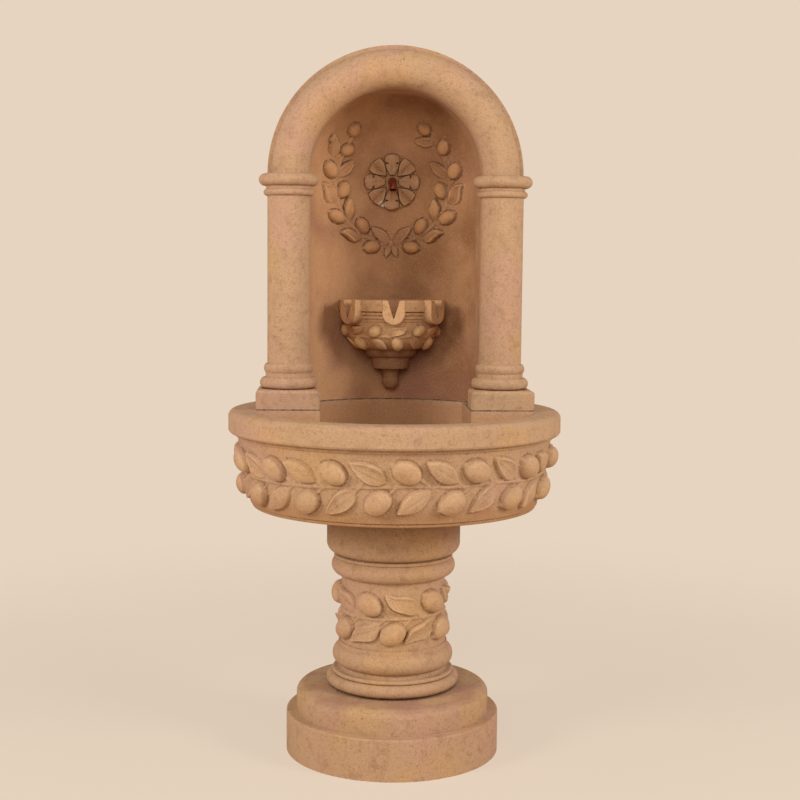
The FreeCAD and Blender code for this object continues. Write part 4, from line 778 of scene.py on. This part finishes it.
def cut(piece, tool, sharp=32):
    """Takes the tool off the piece and keeps the result as a plain mesh."""
    modifier = piece.modifiers.new("cut", "BOOLEAN")
    modifier.operation = "DIFFERENCE"
    modifier.solver = "MANIFOLD"
    modifier.object = tool
    graph = bpy.context.evaluated_depsgraph_get()
    result = bpy.data.meshes.new_from_object(piece.evaluated_get(graph), depsgraph=graph)
    piece.modifiers.remove(modifier)
    result.name = piece.name
    piece.data = result
    discard(tool)
    return tidy(piece, sharp)


def wear(piece, finish):
    """One finish all over the piece, in place of what its CAD copy wore."""
    piece.data.materials.clear()
    piece.data.materials.append(finish)
    piece.data.polygons.foreach_set("material_index", [0] * len(piece.data.polygons))


print("turning tools ready")

# %% [markdown]
# ## The basin
# A garland runs round the basin's outer wall, tips to the left. The wall leans in towards its
# foot, so the sheet is a cone, and its ends follow the flat rear face.

# %% Basin: garland, sheet and casting
BASIN_FOOT_Z, BASIN_HEAD_Z = 0.5485, 0.6895
WALL_FOOT_R, WALL_HEAD_R, WALL_FOOT_Z, WALL_HEAD_Z = 0.309, 0.337, 0.548, 0.690
REAR_Y, FRIEZE_R = 0.290, 0.326


def basin_wall(z):
    """The wall's radius at a height."""
    return WALL_FOOT_R + (WALL_HEAD_R - WALL_FOOT_R) * (z - WALL_FOOT_Z) / (WALL_HEAD_Z - WALL_FOOT_Z)


def basin_sheet(pitch):
    share = np.linspace(-1, 1, round(2 * 2.6 * FRIEZE_R / pitch))
    z = np.linspace(BASIN_FOOT_Z, BASIN_HEAD_Z, round((BASIN_HEAD_Z - BASIN_FOOT_Z) / pitch) + 1)
    share, z = np.meshgrid(share, z, indexing="ij")
    radius = basin_wall(z)
    angle = share * np.arccos(-REAR_Y / radius)
    flat = np.stack([angle * FRIEZE_R, z], axis=-1)
    place = np.stack([radius * np.sin(angle), -radius * np.cos(angle), z], axis=-1)
    slope = math.atan2(WALL_HEAD_R - WALL_FOOT_R, WALL_HEAD_Z - WALL_FOOT_Z)
    outward = np.stack([np.sin(angle) * math.cos(slope), -np.cos(angle) * math.cos(slope),
                        np.full_like(z, -math.sin(slope))], axis=-1)
    return sheet("basin_sheet", flat, place, outward, 3 * mm, (0, z.shape[1] - 1))


def wavy_stem(name, start, end, level, swing, waves, salt):
    """A stem along a level line, with two slow waves that never quite repeat."""
    u = np.linspace(start, end, 160)
    phase = 2 * np.pi * waves * (u - start) / (end - start)
    v = level + swing * (np.sin(phase + salt) * 0.6 + np.sin(phase * 0.37 + 2 * salt) * 0.4)
    return stem_curve(name, list(zip(u, v)))


# deg is the length of one degree of arc. The stem's height wanders as it does in the photograph.
deg = math.radians(1) * FRIEZE_R
FRIEZE_END, SMOOTHING = 146, 13
turns = np.linspace(FRIEZE_END, -FRIEZE_END, 240)
rise = np.interp(turns, (-146, -100, -60, -43, -15, 8, 20, 33, 50, 75, 100, 146),
                 (620, 616, 614, 615, 621, 625, 619, 626, 618, 622, 617, 620))
rise = np.convolve(np.pad(rise, SMOOTHING // 2, "edge"), np.ones(SMOOTHING) / SMOOTHING, "valid")
stem = stem_curve("frieze_stem", list(zip(turns * deg, rise * mm)))
layout = grown(garland, "frieze_layout", {
    "Stem": stem, "Fruit": frieze_fruit, "Leaves": frieze_leaves,
    "Left First": (FRIEZE_END - 136.4) * deg, "Left Phase": 1.0, "Left Step": 13.2 * deg,
    "Right First": (FRIEZE_END - 139.8) * deg, "Right Phase": 1.0, "Right Step": 12.6 * deg, "Count": 24,
    "Offset": 31 * mm, "Lean": math.radians(32), "Jitter": 0.05, "Stem Radius": 3.4 * mm, "Seed": 4,
    "Material": cast_stone})
basin_frieze = pressed("basin_frieze", basin_sheet(1.6 * mm), layout, cast_stone, 1, 9, 0.0045)
basin_stone = merged_copy("basin", "basin_stone")
CLEAR_OF_BASIN = 0.42
cut(basin_stone, lathe_tool("basin_tool", [
    (basin_wall(BASIN_FOOT_Z) - ROOM_DEPTH, BASIN_FOOT_Z), (CLEAR_OF_BASIN, BASIN_FOOT_Z),
    (CLEAR_OF_BASIN, BASIN_HEAD_Z), (basin_wall(BASIN_HEAD_Z) - ROOM_DEPTH, BASIN_HEAD_Z)]))
wear(basin_stone, cast_stone)
discard(layout, stem)

# %% [markdown]
# ## The pedestal
# The same garland goes once round the drum between the pedestal's two rings. Its steps divide the
# circle evenly, so the sheet closes on itself at the rear. At its foot stands a low square fillet
# that sinks into the lower ring.

# %% Pedestal: garland, sheet and casting
BAND_R, BAND_FOOT_Z, BAND_HEAD_Z, BAND_STEM_Z = 0.112, 0.2335, 0.3855, 0.3095
FILLET_FOOT_Z, FILLET_HEAD_Z, FILLET_OUT = 0.2285, 0.2405, 0.006


def drum_sheet(pitch):
    turns = round(2 * np.pi * BAND_R / pitch)
    angle = np.arange(turns) * 2 * np.pi / turns - np.pi
    low = np.append(np.arange(FILLET_FOOT_Z, FILLET_HEAD_Z - 1 * mm, 2 * mm), FILLET_HEAD_Z - 0.4 * mm)
    high_z = FILLET_HEAD_Z + 0.4 * mm
    z = np.append(low, np.linspace(high_z, BAND_HEAD_Z, round((BAND_HEAD_Z - high_z) / pitch) + 1))
    angle, z = np.meshgrid(angle, z, indexing="ij")
    flat = np.stack([angle * BAND_R, z], axis=-1)
    outward = np.stack([np.sin(angle), -np.cos(angle), 0 * z], axis=-1)
    place = outward * (BAND_R + FILLET_OUT * (z < FILLET_HEAD_Z))[..., None]
    place[..., 2] = z
    return sheet("drum_sheet", flat, place, outward, 3 * mm, (0, z.shape[1] - 1), wrap=True)


deg = math.radians(1) * BAND_R
STEM_END = 260
stem = wavy_stem("drum_stem", STEM_END * deg, -STEM_END * deg, BAND_STEM_Z, 2.5 * mm, 2 * STEM_END / 180, 0.4)
layout = grown(garland, "drum_layout", {
    "Stem": stem, "Fruit": frieze_fruit, "Leaves": frieze_leaves, "Left First": (STEM_END - 235.4) * deg,
    "Left Step": 30 * deg, "Right First": (STEM_END - 258.6) * deg, "Right Step": 36 * deg, "Count": 16,
    "Offset": 33 * mm, "Lean": math.radians(34), "Jitter": 0.0, "Stem Radius": 3.4 * mm, "Seed": 9,
    "Material": cast_stone})
pedestal_band = pressed("pedestal_band", drum_sheet(1.6 * mm), layout, cast_stone, 1, 9, 0.0045)
pedestal_stone = merged_copy("pedestal_column", "pedestal_stone")
CLEAR_OF_DRUM = 0.2
cut(pedestal_stone, lathe_tool("pedestal_tool", [
    (BAND_R - ROOM_DEPTH, BAND_FOOT_Z), (CLEAR_OF_DRUM, BAND_FOOT_Z),
    (CLEAR_OF_DRUM, BAND_HEAD_Z), (BAND_R - ROOM_DEPTH, BAND_HEAD_Z)]))
wear(pedestal_stone, cast_stone)
discard(layout, stem)

# %% [markdown]
# ## The niche and its wreath
# The niche is a half round with soft corners, carried up straight and then turned over as a dome.
# Its sheet is swept the same way: up one side, over the dome and down the other, with one row of
# points from the middle of the wall out to the arch at each step. In the flat plane each point
# keeps the place that it has seen from the front, so the wreath can be laid out as it is seen.

# %% The niche's wall
NICHE_FOOT_Z, CARVING_FOOT_Z, CARVED_HALF = 0.747, 1.06, 0.184
SIDE_CX, SIDE_CY, SIDE_R, REAR_CY, REAR_R = 0.095, 0.09374, 0.090, 0.005, 0.220
REAR_TURN = math.atan2(SIDE_CX, SIDE_CY - REAR_CY)
REAR_ARC, SIDE_ARC = REAR_R * REAR_TURN, SIDE_R * (math.pi / 2 - REAR_TURN)
REVEAL = SIDE_CY - NICHE_FRONT


def niche_profile(s):
    """Half width, depth and outward normal at a distance s from the middle of the niche's wall."""
    turn = np.where(s < REAR_ARC, s / REAR_R, REAR_TURN + (s - REAR_ARC) / SIDE_R)
    turn = np.minimum(turn, np.pi / 2)
    on_rear, on_side = s < REAR_ARC, s < REAR_ARC + SIDE_ARC
    radius = np.where(on_rear, REAR_R, SIDE_R)
    across = np.where(on_rear, 0, SIDE_CX) + radius * np.sin(turn)
    depth = np.where(on_rear, REAR_CY, SIDE_CY) + radius * np.cos(turn)
    depth = np.where(on_side, depth, SIDE_CY - (s - REAR_ARC - SIDE_ARC))
    return across, depth, -np.sin(turn), -np.cos(turn)


def niche_path(fine, coarse, foot_z, dome_steps):
    """Stations up the right side, over the dome and down the left: a height and a turn at each."""
    low = np.arange(foot_z, CARVING_FOOT_Z, coarse)
    straight_z = np.concatenate([low, np.arange(CARVING_FOOT_Z, SPRING_Z, fine)])
    turns = np.linspace(0, np.pi, dome_steps + 1)
    z = np.concatenate([straight_z, np.full(len(turns), SPRING_Z), straight_z[::-1]])
    a = np.concatenate([np.zeros(len(straight_z)), turns, np.full(len(straight_z), np.pi)])
    return z, a


def niche_surface(s, z, a):
    across, depth, n_across, n_depth = niche_profile(s)
    place = np.stack([across * np.cos(a), depth, z + across * np.sin(a)], axis=-1)
    outward = np.stack([n_across * np.cos(a), n_depth, n_across * np.sin(a)], axis=-1)
    return place, outward


def niche_sheet(pitch, dome_steps):
    z, a = niche_path(pitch, 9 * mm, NICHE_FOOT_Z, dome_steps)
    whole = REAR_ARC + SIDE_ARC + REVEAL
    s = np.concatenate([np.arange(0, CARVED_HALF, pitch), np.linspace(CARVED_HALF, whole, 18)])
    z, s_grid = np.meshgrid(z, s, indexing="ij")
    a = np.repeat(a[:, None], len(s), axis=1)
    place, outward = niche_surface(s_grid, z, a)
    flat = np.stack([place[..., 0], place[..., 2]], axis=-1)
    back = [int(k) for k in np.linspace(0, len(s) - 1, 14)]
    return sheet("niche_sheet", flat, place, outward, 3 * mm, back, first_side=False)


def niche_tool(recess_depth):
    """The niche's room, a little wider than it is, as a closed solid."""
    z, a = niche_path(20 * mm, 40 * mm, 0.735, 96)
    s = np.linspace(0, REAR_ARC + SIDE_ARC + REVEAL, 60)
    z, s_grid = np.meshgrid(z, s, indexing="ij")
    a = np.repeat(a[:, None], len(s), axis=1)
    place, outward = niche_surface(s_grid, z, a)
    points = place - outward * recess_depth
    rows, columns = z.shape
    faces = grid_faces(rows, columns)
    faces.append(tuple(i * columns + columns - 1 for i in range(rows)))
    foot = tuple((rows - 1) * columns + j for j in reversed(range(1, columns)))
    faces.append(tuple(range(columns)) + foot)
    mesh = plain_mesh("niche_tool", points.reshape(-1, 3).tolist(), faces)
    return tidy(placed("niche_tool", mesh), 30, 1e-5)


print("wall length from the middle to the arch", round(REAR_ARC + SIDE_ARC + REVEAL, 4))

# %% [markdown]
# The wreath has two branches that start at the bottom and climb either side, with a lemon at each
# tip. One branch is laid out with the garland tree and the other is the same with its stem
# mirrored. The last motifs differ from side to side, so they are put down one by one. A tie with
# two short tails holds the branches.

# %% The wreath
WREATH_R, WREATH_Z = 0.129, 1.232


def branch(side):
    """One branch's stem, from the wreath's foot up its side, spreading a little at its tip."""
    turn = np.radians(np.linspace(4, 142, 90))
    reach = WREATH_R * (1 + 0.1 * np.clip((turn - 1.9) / 0.6, 0, 1) ** 2)
    points = [(side * r * math.sin(t), WREATH_Z - r * math.cos(t)) for r, t in zip(reach, turn)]
    return stem_curve("wreath_stem", points)


def joined(pieces, name):
    """Several layouts as one mesh for the press."""
    points, faces, start = [], [], 0
    for mesh in [piece.data for piece in pieces]:
        points += [tuple(v.co) for v in mesh.vertices]
        faces += [tuple(start + k for k in p.vertices) for p in mesh.polygons]
        start = len(points)
    discard(*pieces)
    return placed(name, plain_mesh(name, points, faces))


def laid(source, x, y, turn, size=1.0):
    """One motif put down at a given place in the flat plane."""
    piece = bpy.data.objects.new("laid", source.data.copy())
    c, s = size * math.cos(turn), size * math.sin(turn)
    for v in piece.data.vertices:
        px, py, pz = v.co
        v.co = (x + c * px - s * py, y + s * px + c * py, pz * size)
    return piece


deg = math.radians(1) * WREATH_R
lemon_end, leaf_end = wreath_fruit.objects[0], wreath_leaves.objects[0]
# Each motif put down one by one: its source, degrees from the foot, reach, lean and size.
ends = {1: ((lemon_end, 127.5, 0.145, 0.5, 0.95), (leaf_end, 144, 0.1226, -0.5, 0.9),
            (lemon_end, 151.6, 0.145, 0.1, 0.85)),
        -1: ((leaf_end, 123, 0.158, 0.5, 0.95), (lemon_end, 128, 0.129, -0.3, 0.9),
             (lemon_end, 145, 0.151, 0.2, 0.85))}
layouts = []
for side, seed, inner, outer in ((1, 3, "Left", "Right"), (-1, 8, "Right", "Left")):
    stem = branch(side)
    layouts.append(grown(garland, "wreath_layout", {
        "Stem": stem, "Fruit": wreath_fruit, "Leaves": wreath_leaves,
        inner + " First": 9 * deg, inner + " Phase": 1.0, inner + " Step": 24 * deg,
        outer + " First": 14.5 * deg, outer + " Phase": 0.0, outer + " Step": 21.2 * deg,
        "Count": 5, "Offset": 17 * mm, "Lean": math.radians(26), "Jitter": 0.05, "Stem Radius": 4.2 * mm,
        "Seed": seed, "Material": niche_stone}))
    for source, degrees, reach, lean, size in ends[side]:
        turn = math.radians(degrees)
        layouts.append(laid(source, side * reach * math.sin(turn), WREATH_Z - reach * math.cos(turn),
                            side * (turn - lean) + (0 if side > 0 else math.pi), size))
    layouts.append(laid(wreath_leaves.objects[2], side * 8 * mm, WREATH_Z - WREATH_R - 18 * mm,
                        -math.pi / 2 + side * 0.35, 0.62))
    discard(stem)
layouts.append(laid(wreath_fruit.objects[0], 0.0, WREATH_Z - WREATH_R, math.pi / 2, 0.42))
layout = joined(layouts, "wreath_layout_all")
niche_wall = pressed("niche_wall", niche_sheet(1.7 * mm, 240), layout, niche_stone, 1, 4, 0.0024, 60, 2e-5)
niche_casting = merged_copy("niche_back", "niche_casting")
cut(niche_casting, niche_tool(ROOM_DEPTH))
wear(niche_casting, niche_stone)
discard(layout)

# %% [markdown]
# ## The spill bowl
# The small bowl on the niche's wall has a band of fruit round its bell, below three spill lips.
# The bell's outline is a quarter of an ellipse, so the sheet follows it with rows at even angles.
# One turning tool takes off the plain fruit and the plain lips, and leaves two thin beads below
# the rim. New lips go on: each is a U with a V-shaped channel down its front.

# %% Bowl: garland, sheet, casting and lips
BOWL_Y, BOWL_TOP_Z, BELL_TOP_Z = 0.212, 0.975, 0.927
BELL_R, BELL_MID_R, BELL_FOOT_R, BELL_DROP, BELL_HALF_TURN = 0.109, 0.1, 0.058, 0.065, 1.6


def bell_at(turn):
    """Radius, height and outward normal of the bell, from its top at 0 to its foot at a quarter turn."""
    nr, nz = np.cos(turn) / (BELL_R - BELL_FOOT_R), -np.sin(turn) / BELL_DROP
    size = np.hypot(nr, nz)
    radius = BELL_FOOT_R + (BELL_R - BELL_FOOT_R) * np.cos(turn)
    return radius, BELL_TOP_Z - BELL_DROP * np.sin(turn), nr / size, nz / size


def bell_sheet(pitch):
    angle = np.linspace(-BELL_HALF_TURN, BELL_HALF_TURN, round(2 * BELL_HALF_TURN * BELL_R / pitch))
    turn = np.linspace(0.02, math.pi / 2 - 0.12, round(BELL_DROP * 1.25 / pitch))
    angle, turn = np.meshgrid(angle, turn, indexing="ij")
    radius, z, nr, nz = bell_at(turn)
    flat = np.stack([angle * BELL_MID_R, z], axis=-1)
    place = np.stack([radius * np.sin(angle), BOWL_Y - radius * np.cos(angle), z], axis=-1)
    outward = np.stack([nr * np.sin(angle), -nr * np.cos(angle), nz], axis=-1)
    back = sorted(set(range(0, turn.shape[1], 6)) | {turn.shape[1] - 1})
    return sheet("bell_sheet", flat, place, outward, 3 * mm, back)


def bowl_tool():
    """The ring that turns the bell down and leaves a rim and two thin beads, as (radius, height)."""
    r, z, nr, nz = bell_at(np.linspace(0.05, math.radians(81), 20))
    inner = list(zip(r - 3.5 * mm * nr, z - 3.5 * mm * nz))
    corners = [(0.116, 0.9765), (0.116, 0.9754), (0.1188, 0.9742), (0.1208, 0.9722), (0.1217, 0.9695),
               (0.1217, 0.9502), (0.1145, 0.9495), (0.1145, 0.9482), (0.1168, 0.9472),
               (0.1168, 0.9422), (0.1135, 0.9412), (0.1135, 0.94), (0.1155, 0.939), (0.1155, 0.934),
               (0.1112, 0.933), (0.1105, 0.927)]
    end = (r[-1] + 3 * mm * nr[-1], z[-1] + 3 * mm * nz[-1])
    return lathe_tool("bowl_tool", corners + inner + [end, (0.16, end[1]), (0.16, 0.9765)], BOWL_Y)


def lips(name, near, far, half, drop, channel_half, channel_drop):
    """Three U-shaped bars that point out from the bowl's axis, each with a V-shaped channel."""
    turn = np.linspace(0, -math.pi, 17)
    outline = [(half, 0.0)] + [(half * math.cos(t), half - drop + half * math.sin(t)) for t in turn]
    outline += [(-half, 0.0), (-channel_half, 0.0), (-1.2 * mm, -channel_drop), (1.2 * mm, -channel_drop),
                (channel_half, 0.0)]
    points, faces, count = [], [], len(outline)
    for degrees in (-48, 0, 48):
        a, base = math.radians(degrees), len(points)
        for reach, shrink in ((near, 1.0), (far - 2 * mm, 1.0), (far, 0.95)):
            for x, z in outline:
                centre = z + drop / 2
                x, z = x * shrink, centre * shrink - drop / 2 if z < 0 else z
                points.append((x * math.cos(a) + reach * math.sin(a),
                               BOWL_Y + x * math.sin(a) - reach * math.cos(a), BOWL_TOP_Z + z))
        for ring in (0, 1):
            start = base + ring * count
            faces += [(start + k, start + (k + 1) % count, start + count + (k + 1) % count, start + count + k)
                      for k in range(count)]
        faces.append(tuple(base + k for k in range(count)))
        faces.append(tuple(base + 2 * count + k for k in reversed(range(count))))
    mesh = plain_mesh(name, points, faces)
    work = bmesh.new()
    work.from_mesh(mesh)
    bmesh.ops.triangulate(work, faces=[face for face in work.faces if len(face.verts) > 4])
    work.to_mesh(mesh)
    work.free()
    mesh.materials.append(bowl_stone)
    return tidy(placed(name, mesh), 30)


deg = math.radians(1) * BELL_MID_R
stem = wavy_stem("bell_stem", -100 * deg, 100 * deg, 0.893, 1.5 * mm, 5, 0.2)
layout = grown(garland, "bell_layout", {
    "Stem": stem, "Fruit": bowl_fruit, "Leaves": bowl_leaves, "Left First": 25 * deg,
    "Right First": 26 * deg, "Right Phase": 1.0, "Left Step": 27 * deg, "Right Step": 27 * deg,
    "Count": 7, "Offset": 14.5 * mm, "Lean": math.radians(30), "Jitter": 0.05,
    "Stem Radius": 2.2 * mm, "Seed": 5, "Material": bowl_stone})
bowl_band = pressed("bowl_band", bell_sheet(1.1 * mm), layout, bowl_stone, 1, 4, 0.0022)
bowl_casting = merged_copy("spill_bowl", "bowl_casting")
cut(bowl_casting, bowl_tool())
wear(bowl_casting, bowl_stone)
bowl_lips = lips("bowl_lips", near=98 * mm, far=135.5 * mm, half=25 * mm, drop=54 * mm,
                 channel_half=14 * mm, channel_drop=40 * mm)
discard(layout, stem)

# %% [markdown]
# ## The rosette
# Four broad lobes and four V-shaped leaves stand in turn round the spout. The garland tree lays
# them as well: its stem is a circle, the lean is a right angle and the second row is left out.

# %% Rosette
ROSETTE_Z, ROSETTE_R, ROSETTE_FRONT_Y, SPOUT_ROOM_R = 1.241, 0.0635, 0.207, 9.4 * mm
LOBE_RING_R, LOBE_AND_WEDGE_COUNT = 39 * mm, 8
lobes = bpy.data.collections.new("rosette_lobes")
wedges = bpy.data.collections.new("rosette_wedges")
rounded = lambda s, at: np.sqrt(np.clip(1 - (np.clip(s - at, 0, 1) / (1 - at)) ** 2, 0, 1))
rising = lambda s, at: np.sin(np.pi / 2 * np.clip(s / at, 0, 1))
motif(lobes, "lobe", 48 * mm, 35 * mm,
      lambda s: (0.3 + 0.7 * rising(s, 0.62)) * rounded(s, 0.8) * (1 - 0.5 * hill(s - 0.56, 0.045)), straight,
      lambda s, t: (8 - 3 * t ** 2 - 2 * hill(t, 0.12) * (s < 0.66)
                    + 3 * hill(s - 0.87, 0.08) * hill(t, 0.6)) * mm,
      (0.5 * mm, 0.5 * mm))
motif(wedges, "wedge", 44 * mm, 38 * mm,
      lambda s: rising(s, 0.8) ** 1.2 * rounded(s, 0.88), straight,
      lambda s, t: (5 + 4 * np.abs(t) ** 1.5 - 2.6 * hill(t, 0.13) * (s > 0.3)) * mm,
      (0.5 * mm, 0.5 * mm))


def rosette_sheet(rows, columns):
    turn = np.arange(rows) * 2 * np.pi / rows
    radius = np.linspace(SPOUT_ROOM_R, ROSETTE_R, columns)
    turn, radius = np.meshgrid(turn, radius, indexing="ij")
    share = (radius / ROSETTE_R) ** 2
    edge = 1 - 0.035 * np.cos(LOBE_AND_WEDGE_COUNT * turn + np.pi) * share - 0.02 * share
    x, z = radius * edge * np.cos(turn), radius * edge * np.sin(turn)
    hump = 3.5 * mm * np.exp(-(radius / (12 * mm)) ** 2)
    y = ROSETTE_FRONT_Y + 3.5 * mm + 4 * mm * share - hump
    place = np.stack([x, y, ROSETTE_Z + z], axis=-1)
    outward = np.stack([0 * x, -np.ones_like(x), 0 * x], axis=-1)
    flat = np.stack([x, z], axis=-1)
    return sheet("rosette_sheet", flat, place, outward, 15 * mm, (0, columns - 1), wrap=True)


circle = np.linspace(0, 2 * np.pi, 161)[:-1]
stem = stem_curve("rosette_stem", [(LOBE_RING_R * math.cos(a), LOBE_RING_R * math.sin(a)) for a in circle],
                  closed=True)
# The stem is a polygon, a little shorter than its circle, so the step is too.
POLYGON_SHARE = 0.9997
layout = grown(garland, "rosette_layout", {
    "Stem": stem, "Fruit": lobes, "Leaves": wedges, "Left First": 0.0, "Right Row": 0.0,
    "Left Step": 2 * math.pi * LOBE_RING_R / LOBE_AND_WEDGE_COUNT * POLYGON_SHARE,
    "Count": LOBE_AND_WEDGE_COUNT, "Offset": 0.0, "Lean": -math.pi / 2, "Jitter": 0.0,
    "Stem Radius": 0.2 * mm, "Seed": 2, "Material": rosette_stone})
rosette_disc = pressed("rosette_disc", rosette_sheet(260, 50), layout, rosette_stone, 1, 3, 0.0012)
discard(layout, stem)

# %% [markdown]
# ## What each piece stands for
# Every new piece rides on the fixed body and says which CAD node it stands for, and that node is
# hidden. The table also lists the finish slot that each piece follows, though the loop does not use
# it. Those nodes stay in the physics model, unseen here.

# %% Ride and replace
for piece, node, slot in (
        (basin_stone, "basin", "cast_stone"), (basin_frieze, "basin", "cast_stone"),
        (pedestal_stone, "pedestal_column", "cast_stone"), (pedestal_band, "pedestal_column", "cast_stone"),
        (niche_casting, "niche_back", "niche_stone"), (niche_wall, "niche_back", "niche_stone"),
        (bowl_casting, "spill_bowl", "niche_stone"), (bowl_band, "spill_bowl", "niche_stone"),
        (bowl_lips, "spill_bowl", "niche_stone"), (rosette_disc, "rosette", "rosette_stone")):
    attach(piece, "fountain")
    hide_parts(node)
print("pieces placed")

# %% [markdown]
# ## Studio
# The floor is a wide disc that shows the backdrop's own colour to the camera and keeps a faint
# shadow. Two soft lamps of like strength stand well out to the left and right, above eye height,
# and a weaker wide one in front lights the niche.

# %% Floor, backdrop and lamps
BACKDROP = linear(230, 212, 192)


def seen_directly(tree):
    path = add_node(tree, "ShaderNodeLightPath", None, None, "Is Camera Ray")
    glossy = Term(tree, pick(path.socket.node.outputs, "Is Glossy Ray"))
    through = Term(tree, pick(path.socket.node.outputs, "Is Transmission Ray"))
    return path.larger(glossy).larger(through)


floor_finish = Finish("floor_finish")
tree = floor_finish.tree
grain = floor_finish.noise(3.0, 2.0).over(0.2, 0.8)
paint = floor_finish.mix(grain * 0.15, BACKDROP, linear(224, 204, 182))
matt = floor_finish.node("ShaderNodeBsdfDiffuse", None, {"Color": paint})
glow = floor_finish.node("ShaderNodeEmission", None, {"Color": BACKDROP, "Strength": 1.0})
far = vector(tree, "LENGTH", floor_finish.at, out="Value").over(0.6, 2.6)
share = seen_directly(tree) * (0.72 + 0.28 * far)
both = floor_finish.node("ShaderNodeMixShader", None, {0: share, 1: matt, 2: glow})
floor_finish.node("ShaderNodeOutputMaterial", None, {"Surface": both})
disc = bmesh.new()
bmesh.ops.create_circle(disc, cap_ends=True, radius=30.0, segments=96)
floor_mesh = bpy.data.meshes.new("floor")
disc.to_mesh(floor_mesh)
disc.free()
floor_mesh.materials.append(floor_finish.material)
placed("floor", floor_mesh)

world = bpy.data.worlds.new("studio")
bpy.context.scene.world = world
world.use_nodes = True
world.node_tree.nodes.clear()
air = world.node_tree
sky = add_node(air, "ShaderNodeBackground", None, {"Color": (1.0, 0.97, 0.93, 1.0), "Strength": 0.34})
wall = add_node(air, "ShaderNodeBackground", None, {"Color": BACKDROP, "Strength": 1.0})
both = add_node(air, "ShaderNodeMixShader", None, {0: seen_directly(air), 1: sky, 2: wall})
add_node(air, "ShaderNodeOutputWorld", None, {"Surface": both})


LAMP_COLOUR, MIDDLE = (1.0, 0.97, 0.92), (0, 0, 0.85)


def lamp(name, place, aim, size, power):
    data = bpy.data.lights.new(name, "AREA")
    data.shape = "DISK"
    data.size = size
    data.energy = power
    data.color = LAMP_COLOUR
    made = placed(name, data)
    made.location = place
    made.rotation_euler = (Vector(aim) - Vector(place)).to_track_quat("-Z", "Y").to_euler()


lamp("left", (-3.0, -1.9, 2.2), MIDDLE, size=1.2, power=72.0)
lamp("right", (3.0, -1.9, 2.2), MIDDLE, size=1.2, power=76.0)
lamp("front", (-0.5, -3.2, 2.3), (0, 0, 1.0), size=1.8, power=34.0)

# %% [markdown]
# ## Camera
# The photograph was taken from eye height, a little to the left, looking slightly down. The
# focal length comes from how the rings of the foot, the basin and the arch open.

# %% Camera and view
SENSOR, FOCAL_PIXELS, FRAME_PIXELS = 36.0, 1397, 800
LOOK_DOWN, LOOK_RIGHT, ROLL = 5.315, 3.076, 0.527
camera_data = bpy.data.cameras.new("camera")
camera_data.sensor_width = SENSOR
camera_data.lens = SENSOR * FOCAL_PIXELS / FRAME_PIXELS
camera = placed("camera", camera_data)
camera.location = (-0.1495, -2.9941, 1.042)
camera.rotation_euler = [math.radians(v) for v in (90 - LOOK_DOWN, 0, -LOOK_RIGHT)]
camera.rotation_euler.rotate_axis("Z", math.radians(ROLL))
bpy.context.scene.camera = camera
bpy.context.scene.view_settings.view_transform = "Standard"
print("camera at", [round(v, 3) for v in camera.location])
